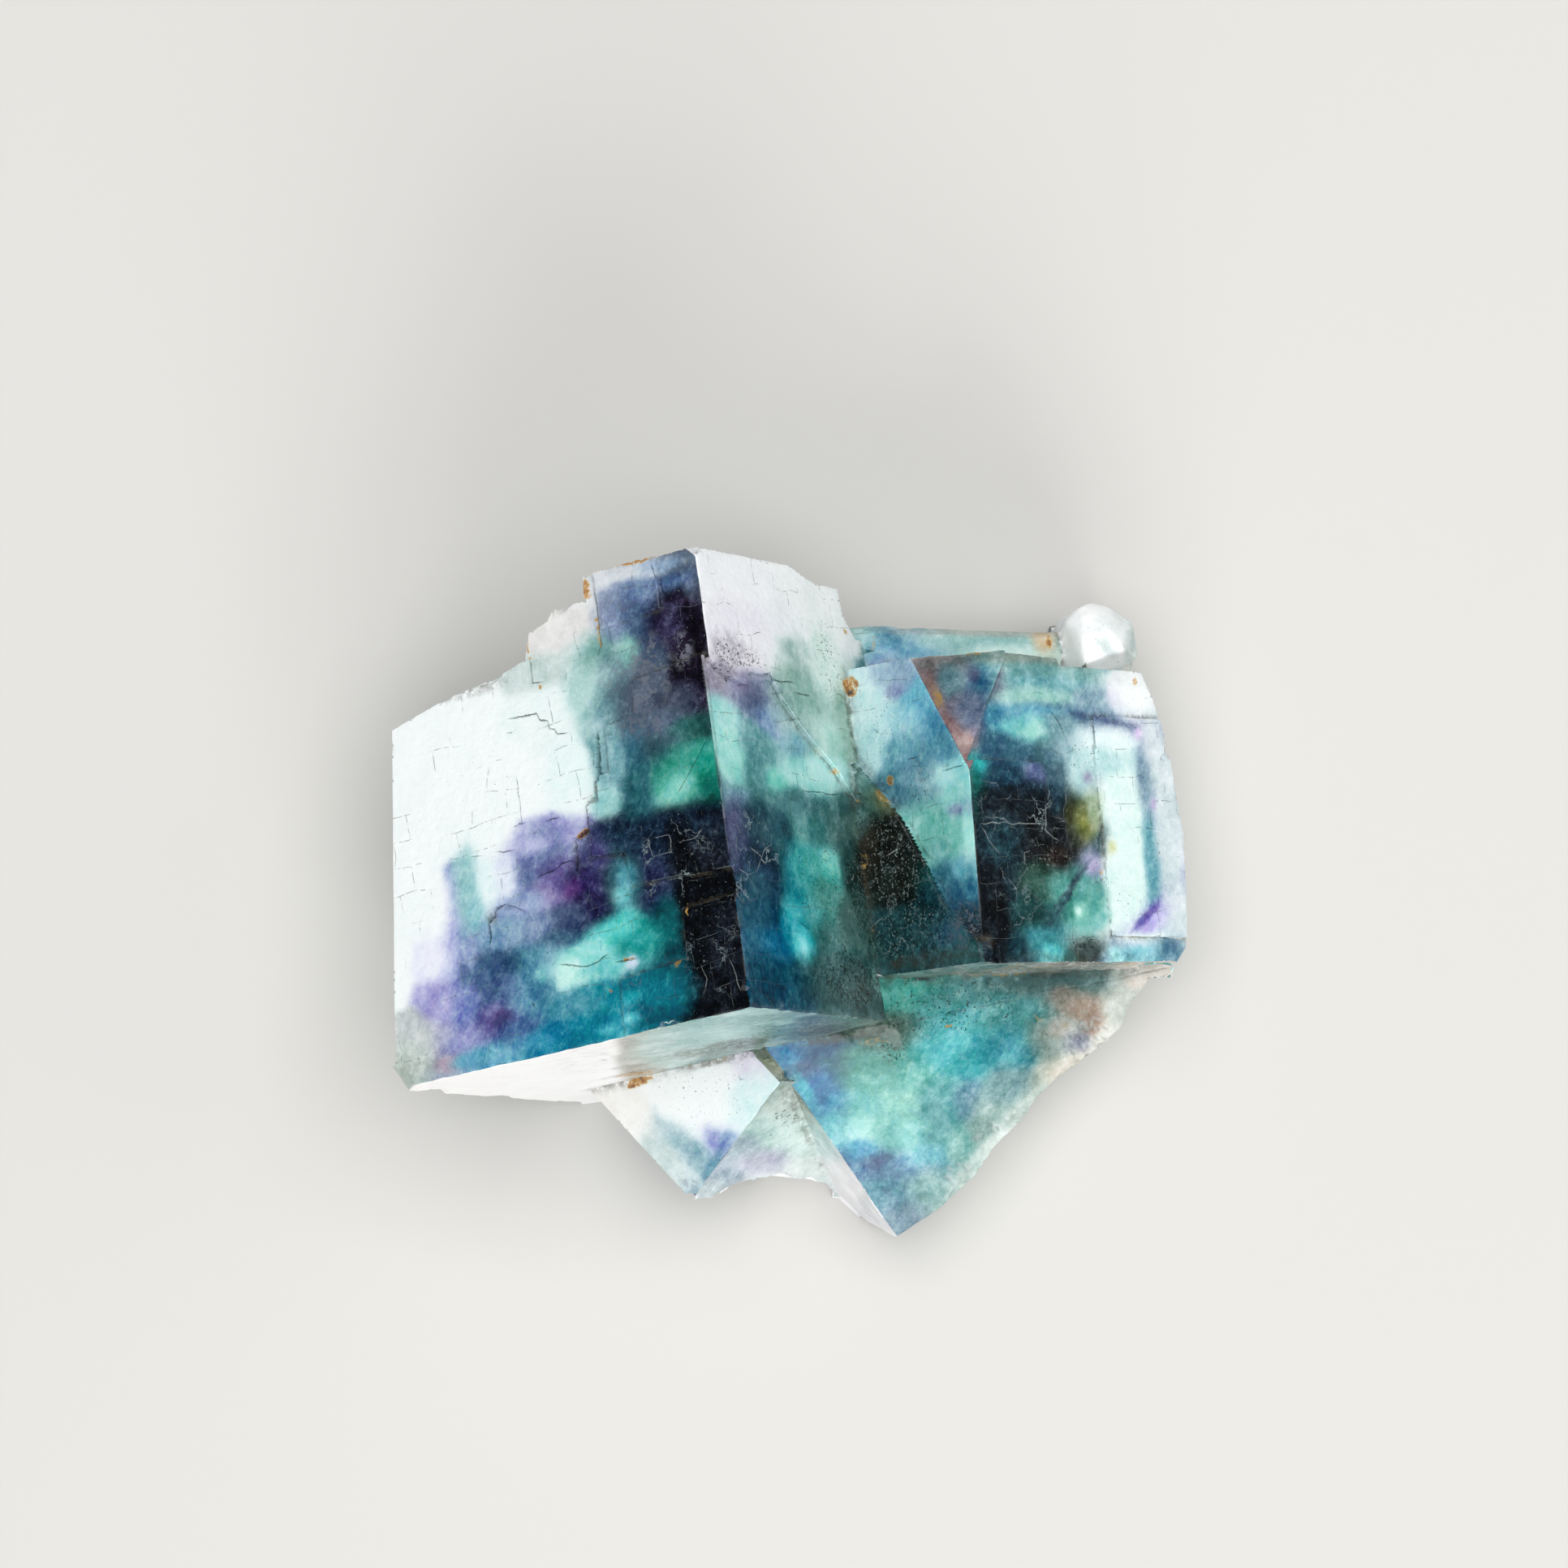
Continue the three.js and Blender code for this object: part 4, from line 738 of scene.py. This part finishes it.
def weather(p, picked, rounds):
    """Weathers the picked points: each moves towards the mean of its neighbours, again and
    again, which takes corners off."""
    pairs = np.concatenate([triangles[:, [0, 1]], triangles[:, [1, 2]], triangles[:, [2, 0]]])
    count = np.bincount(pairs[:, 0], minlength=total)
    for _ in range(rounds):
        mean = np.stack([np.bincount(pairs[:, 0], p[pairs[:, 1], k], total) for k in range(3)], 1)
        mean /= np.maximum(count, 1)[:, None]
        p[picked] += 0.7 * (mean[picked] - p[picked])


knob = np.unique(triangles[layer == "knob"])
weather(moved, knob[points[knob, 2] > 3.4], 4)    # all of it but its foot


# Colour, worked out for each corner of each triangle, so that it changes sharply where
# one face meets the next.
def srgb(code):
    """Red, green and blue from 0 to 1 of a hex colour."""
    return np.array([int(code[k:k + 2], 16) / 255 for k in (0, 2, 4)])


def linear(colours):
    """Light values of sRGB colours, given as hex or as rows of values from 0 to 1."""
    c = srgb(colours) if isinstance(colours, str) else np.array(colours)
    return np.where(c <= 0.04045, c / 12.92, ((c + 0.055) / 1.055) ** 2.4)


def frayed(place, wisps):
    """Cloud noise mixed with fine streaks that run down to the right across the face."""
    along = place @ np.array([[0.5, 0.87], [0.87, -0.5]]) * [2.2, 0.8]
    streaks = noise(np.concatenate([along, np.zeros((len(place), 1))], 1), 1.0, 141, 3)
    return 0.6 * wisps + 0.4 * streaks


def painted(place, base, zones, wisps):
    """Colours that run into each other. First every point takes the mean of the zones
    within about 0.7 mm, the near ones counting most. Then each zone is laid over the last:
    full inside its outline and fading across it, the outline pushed about by cloud noise so
    that it frays like real zoning."""
    shares, total, mean = [], 0.004, 0.004 * srgb(base)
    for across, up, wide, high, code, *rest in zones:
        angle, power = rest + [0, 2][len(rest):]
        cloud = power == 2
        reach = spot(place, across, up, wide, high, angle, power)
        reach = reach + (1.1 if cloud else 0.5 / min(wide, high)) * (wisps - 0.5)
        fade = 0.6 if cloud else min(0.6, 0.35 / min(wide, high))
        shares.append(1 - smooth(1 - fade, 1 + fade, reach)[:, None])
        pull = np.exp(-(np.maximum(0, reach - 1) * min(wide, high) / 0.3) ** 2)[:, None]
        total, mean = total + pull, mean + pull * srgb(code)
    colour = mean / total
    for share, row in zip(shares, zones):
        colour += share * (srgb(row[4]) - colour)
    return colour


def depth_zones(p):
    """Growth zoning for the sides turned away: pale mint with teal and violet bands that
    wander through the stone."""
    colour = np.tile(srgb("dcebe8"), (len(p), 1))
    for seed, code, low in ((41, "8fcfcb", 0.5), (47, "6f9fc0", 0.6), (53, "8f88c0", 0.64),
                            (59, "f4f7f5", 0.52), (61, "3f6474", 0.7)):
        share = smooth(low, low + 0.14, noise(p * [1, 1, 1.6], 0.2, seed, 4))
        colour += 0.8 * share[:, None] * (srgb(code) - colour)
    return colour


shade = smooth(0.25, 0.75, noise(points, 1.1, 121, 3))
zone = np.ones((len(triangles), 3, 4))
grid_place = points[triangles] * [1, 1, 0]
stretches = smooth(0.5, 0.6, noise(points, 0.75, 131, 3))    # where cleavage lines show
for name in np.unique(layer):
    picked = layer == name
    used = np.unique(triangles[picked])
    if name in FACES or name == "dark_layer":
        grid_place[picked, :, :2] = (placed(name, points) + 0.5 * drift)[triangles[picked]]
        if name not in ("front_left", "left_under"):
            grid_place[picked, :, 2] = stretches[triangles[picked]]
    if name in ZONES:
        place = placed(name, points[used]) + 0.35 * drift[used]
        colour = painted(place, *ZONES[name], frayed(place, wisps[used]))
    else:
        colour = depth_zones(points[used])
    table = np.zeros((total, 3))
    table[used] = np.clip(colour, 0, 1) ** (0.72 + 0.46 * shade[used])[:, None]
    zone[picked, :, :3] = table[triangles[picked]]
zone = np.clip(zone, 0, 1)
rim = (layer == "left_right") & (np.array(breadths)[owner] < 0.25)
zone[rim, :, :3] *= 0.9    # the low growth layer's rim lies in its shade
milky = smooth(0.35, 0.9, zone[..., :3].mean(-1))
milky[layer == "broken"] *= 0.5
milky[layer == "knob"] = 1.5    # frosted right through
zone[..., :3] = linear(zone[..., :3])
zone[..., 3] = milky

grime = 0.9 * np.exp(-(to_crease / DIRT) ** 2) * smooth(0.35, 0.6, nibble)
grime[np.unique(triangles[layer == "flank"])] *= 0.4
# Pale along sharp edges: partly wear, partly a painted highlight that the edges would catch.
worn_edge_glint = 0.15 * np.exp(-(to_edge / RIM) ** 2) * smooth(0.4, 0.6, ripple)
pale_line = np.maximum(np.maximum(-0.45 * line_tone, 0.7 * brink), worn_edge_glint)
marks = np.stack([np.maximum(grime, marked["grime"]), pale_line, marked["frost"],
                  np.maximum(line_tone, 0)], 1)
stains = np.stack([marked[kind] for kind in ("iron", "scratch", "fibre", "dots")], 1)

mesh = bpy.data.meshes.new("fluorite_crystals")
mesh.from_pydata(moved * MM, [], triangles)
mesh.update()
for name, kind, slot, values in (
        ("zone", "FLOAT_COLOR", "color", zone), ("marks", "FLOAT_COLOR", "color", marks[triangles]),
        ("stains", "FLOAT_COLOR", "color", stains[triangles]),
        ("place", "FLOAT_VECTOR", "vector", grid_place)):
    mesh.attributes.new(name, kind, "CORNER").data.foreach_set(slot, values.astype(np.float32).ravel())
crystals = bpy.data.objects.new("fluorite_crystals", mesh)
scene.collection.objects.link(crystals)
mesh.polygons.foreach_set("use_smooth", np.ones(len(triangles), bool))
mesh.set_sharp_from_angle(angle=math.radians(24))
# The knob is weathered round: no edge on it stays sharp.
ends, sharp_edges = np.zeros(2 * len(mesh.edges), int), np.zeros(len(mesh.edges), bool)
mesh.edges.foreach_get("vertices", ends)
mesh.edges.foreach_get("use_edge_sharp", sharp_edges)
on_knob = np.isin(ends.reshape(-1, 2), triangles[layer == "knob"]).all(1)
mesh.edges.foreach_set("use_edge_sharp", sharp_edges & ~on_knob)

# Fluorite: glassy and see-through where it is dark, milky where it is pale. The zone
# colours carry the clouds, and its surface has etch mottling, frost, hair-thin pale
# scratches and fibres, dark specks, brown dirt in the angles and rust spots.
fluorite = bpy.data.materials.new("fluorite_zoned_etched")
fluorite.use_nodes = True
tree = fluorite.node_tree
tree.nodes.clear()


def add(kind, inputs=(), out=0, **settings):
    """Adds a node with its settings, sets or links its inputs by order, or by name or
    number in a dictionary, and returns one of its outputs."""
    node = tree.nodes.new("ShaderNode" + kind)
    for name, value in settings.items():
        setattr(node, name, value)
    for socket, value in inputs.items() if isinstance(inputs, dict) else enumerate(inputs):
        if isinstance(value, bpy.types.NodeSocket):
            tree.links.new(value, node.inputs[socket])
        else:
            node.inputs[socket].default_value = value
    return node.outputs[out] if node.outputs else None


def paint(code):
    """A colour socket's value for a hex colour."""
    return (*linear(code), 1)


zone_in, marks_in, stains_in = (add("Attribute", attribute_name=name).node.outputs
                                for name in ("zone", "marks", "stains"))
milkiness = zone_in["Alpha"]
grime, pale_line, frost = add("SeparateColor", [marks_in["Color"]]).node.outputs
iron, scratch, fibre = add("SeparateColor", [stains_in["Color"]]).node.outputs
where = add("TexCoord", out="Object")
mm = add("Mapping", {"Vector": where, "Scale": (1000, 1000, 1000)})
# Cloud noise: coarse mottling, fine etching and specks, its scale in clouds per mm.
fine, etched, specks = (
    add("TexNoise", {"Vector": mm, "Scale": per_mm, "Detail": detail, "Roughness": roughness,
                     "Distortion": distortion})
    for per_mm, detail, roughness, distortion in (
        (3.4, 6, 0.72, 0), (9, 4, 0.75, 0.8), (10, 2, 0.6, 0)))
# Cleavage blocks: square cells set along the cube's own edges, each a shade off the next.
place = add("Attribute", out="Vector", attribute_name="place")
blocks = add("TexVoronoi", {"Vector": place, "Scale": 1.2, "Detail": 1.0}, "Color",
             voronoi_dimensions="2D", distance="CHEBYCHEV", normalize=True)
block = add("SeparateColor", [blocks])
# Streaks run down to the right across each face, as the zoning's own fibres do.
leaning = add("VectorRotate", {"Vector": place, "Angle": math.radians(-58)}, rotation_type="Z_AXIS")
drawn = add("Mapping", {"Vector": leaning, "Scale": (1.7, 4.2, 0)})
streak = add("TexNoise", {"Vector": drawn, "Scale": 1.0, "Detail": 5, "Roughness": 0.68,
                          "Distortion": 1.6})
shaded = add("Math", [fine, 0.6], operation="MULTIPLY")
for share in (add("Math", [streak, 0.25], operation="MULTIPLY"),
              add("Math", [etched, 0.3], operation="MULTIPLY"),
              add("MapRange", [block, 0, 1, -0.03, 0.03])):
    shaded = add("Math", [shaded, share], operation="ADD")
toned = add("Gamma", [zone_in["Color"], add("MapRange", [shaded, 0.42, 0.73, 0.55, 1.45])])
toned = add("HueSaturation", {"Color": toned, "Saturation": 1.06, "Value": 1.0,
                              "Hue": add("MapRange", [streak, 0.35, 0.65, 0.48, 0.52])})
# Wandering hair lines: the seams of a cell pattern pushed about by noise, kept in places;
# threads: the seams of long thin cells.
push = add("TexNoise", {"Vector": mm, "Scale": 2.4, "Detail": 3, "Roughness": 0.6}, "Color")
pushed = add("VectorMath", [mm, push], operation="ADD")
long = add("Mapping", {"Vector": where, "Scale": (600, 2600, 2600)})
hair, thread = (add("TexVoronoi", {"Vector": cells, "Scale": 0.9}, "Distance",
                    feature="DISTANCE_TO_EDGE") for cells in (pushed, long))
# Hair-thin cleavage cracks, square to the cube's edges, in stretches.
bricks = add("TexBrick", {"Vector": place, "Scale": 1.0, "Mortar Size": 0.014, "Mortar Smooth": 0.3,
                          "Brick Width": 1.45, "Row Height": 0.95}, "Fac")
square = add("SeparateXYZ", [place], 2)
crack_colour = add("Mix", {0: add("MapRange", [milkiness, 0.1, 0.5]), 6: paint("8c9a9a"),
                           7: paint("5c5f52")}, 2, data_type="RGBA")
dark_dots = add("Math", [specks, add("Math", [stains_in["Alpha"], 0.21], operation="MULTIPLY")],
                operation="ADD")
pale_dots = add("Math", [specks, add("Math", [stains_in["Alpha"], 0.11], operation="MULTIPLY")],
                operation="SUBTRACT")
# Rust goes from straw yellow at its rim to nearly black in its middle.
rust = add("Math", [iron, add("MapRange", [fine, 0.3, 0.7, 0.3, 1.7])], operation="MULTIPLY")
rust_colour = add("ValToRGB", [rust])
ramp = rust_colour.node.color_ramp.elements
for share, code in ((0.35, "dcbc74"), (0.55, "c8933a"), (0.8, "8e5216"), (1.0, "2e1a0a")):
    element = ramp[0] if share == 0.35 else ramp.new(share) if share < 1 else ramp[-1]
    element.position, element.color = share, paint(code)
# What lies on the zones, from the lowest up: its colour, and the shares that are multiplied.
colour = toned
for over, share, *factors in (
        (paint("a8b0a8"), add("MapRange", [pale_dots, 0.3, 0.24, 0, 0.4])),
        (crack_colour, bricks, square, add("MapRange", [fine, 0.44, 0.52, 0, 0.75]),
         add("MapRange", [milkiness, 0, 0.4, 0.25, 1])),
        (paint("aebfc0"), add("MapRange", [hair, 0.008, 0.03, 0.5, 0]), scratch),
        (paint("a8b0ac"), add("MapRange", [thread, 0.02, 0.08, 0.6, 0]), fibre),
        (paint("8b8d9c"), frost, add("MapRange", [fine, 0.49, 0.53, 0, 0.8])),
        (paint("1e1a13"), add("MapRange", [dark_dots, 0.74, 0.8, 0, 0.85])),
        (paint("4e4638"), grime, add("MapRange", [fine, 0.36, 0.56]), 0.7),
        (rust_colour, add("MapRange", [rust, 0.3, 0.55, 0, 0.9])),
        (paint("2e2a26"), marks_in["Alpha"], 0.85),
        # Pale lines: raised crack edges, flake rims, and along sharp edges wear with a painted
        # highlight.
        (paint("c3cccb"), pale_line)):
    for factor in factors:
        share = add("Math", [share, factor], operation="MULTIPLY")
    colour = add("Mix", {0: share, 6: colour, 7: over}, 2, data_type="RGBA")
etch = add("TexNoise", {"Vector": mm, "Scale": 3.1, "Detail": 4, "Roughness": 0.62})
# The blackest blocks are smoky: little light comes up through them.
smoky = add("MapRange", [add("RGBToBW", [zone_in["Color"]]), 0, 0.06, 0.15, 1])
clear = add("MapRange", [milkiness, 0, 1.5, 0.6, 0.03])
surface = add("BsdfPrincipled", {
    "Base Color": colour, "IOR": 1.434, "Specular IOR Level": 0.12,
    "Normal": add("Bump", {"Strength": 0.5, "Distance": 0.00006, "Height": etch}),
    "Roughness": add("MapRange", [milkiness, 0, 1.5, 0.14, 0.44]),
    "Transmission Weight": add("Math", [clear, smoky], operation="MULTIPLY")})
inner = add("VolumeAbsorption", {"Color": paint("b4e2e4"), "Density": 30})
add("OutputMaterial", {"Surface": surface, "Volume": inner})
crystals.data.materials.append(fluorite)

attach(crystals, "root")
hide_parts("fluorite_cluster")


# ---- Floor and light ------------------------------------------------------------------
# A plain pale table, a large soft box overhead, a fill and a faint side light, and an even
# pale room.
floor_mesh = bpy.data.meshes.new("floor")
half, top = 0.6, -0.00002    # in metres: a hair below the cluster's flat back
floor_mesh.from_pydata([(-half, -half, top), (half, -half, top), (half, half, top),
                        (-half, half, top)], [], [(0, 1, 2, 3)])
floor = bpy.data.objects.new("floor", floor_mesh)
scene.collection.objects.link(floor)
paper = bpy.data.materials.new("pale_matt_board")
paper.use_nodes = True
board = paper.node_tree.nodes["Principled BSDF"]
board.inputs["Base Color"].default_value = paint("bfbdb9")
board.inputs["Roughness"].default_value = 0.8
floor.data.materials.append(paper)

for name, at, size, watts in (("soft_box", (0.02, 0.07, 0.45), 0.4, 2.45),
                              ("fill", (0.06, -0.36, 0.2), 0.3, 1.5),
                              ("side", (0.33, 0.06, 0.22), 0.25, 0.2)):
    light = bpy.data.lights.new(name, "AREA")
    light.shape, light.size, light.energy = "SQUARE", size, watts
    lamp = bpy.data.objects.new(name, light)
    lamp.location = at
    lamp.rotation_euler = (-Vector(at)).to_track_quat("-Z", "Y").to_euler()
    scene.collection.objects.link(lamp)
world = bpy.data.worlds.new("room")
world.use_nodes = True
room = world.node_tree.nodes["Background"].inputs
room[0].default_value, room[1].default_value = paint("e8ecf0"), 0.25
scene.world = world
scene.view_settings.view_transform = "Standard"
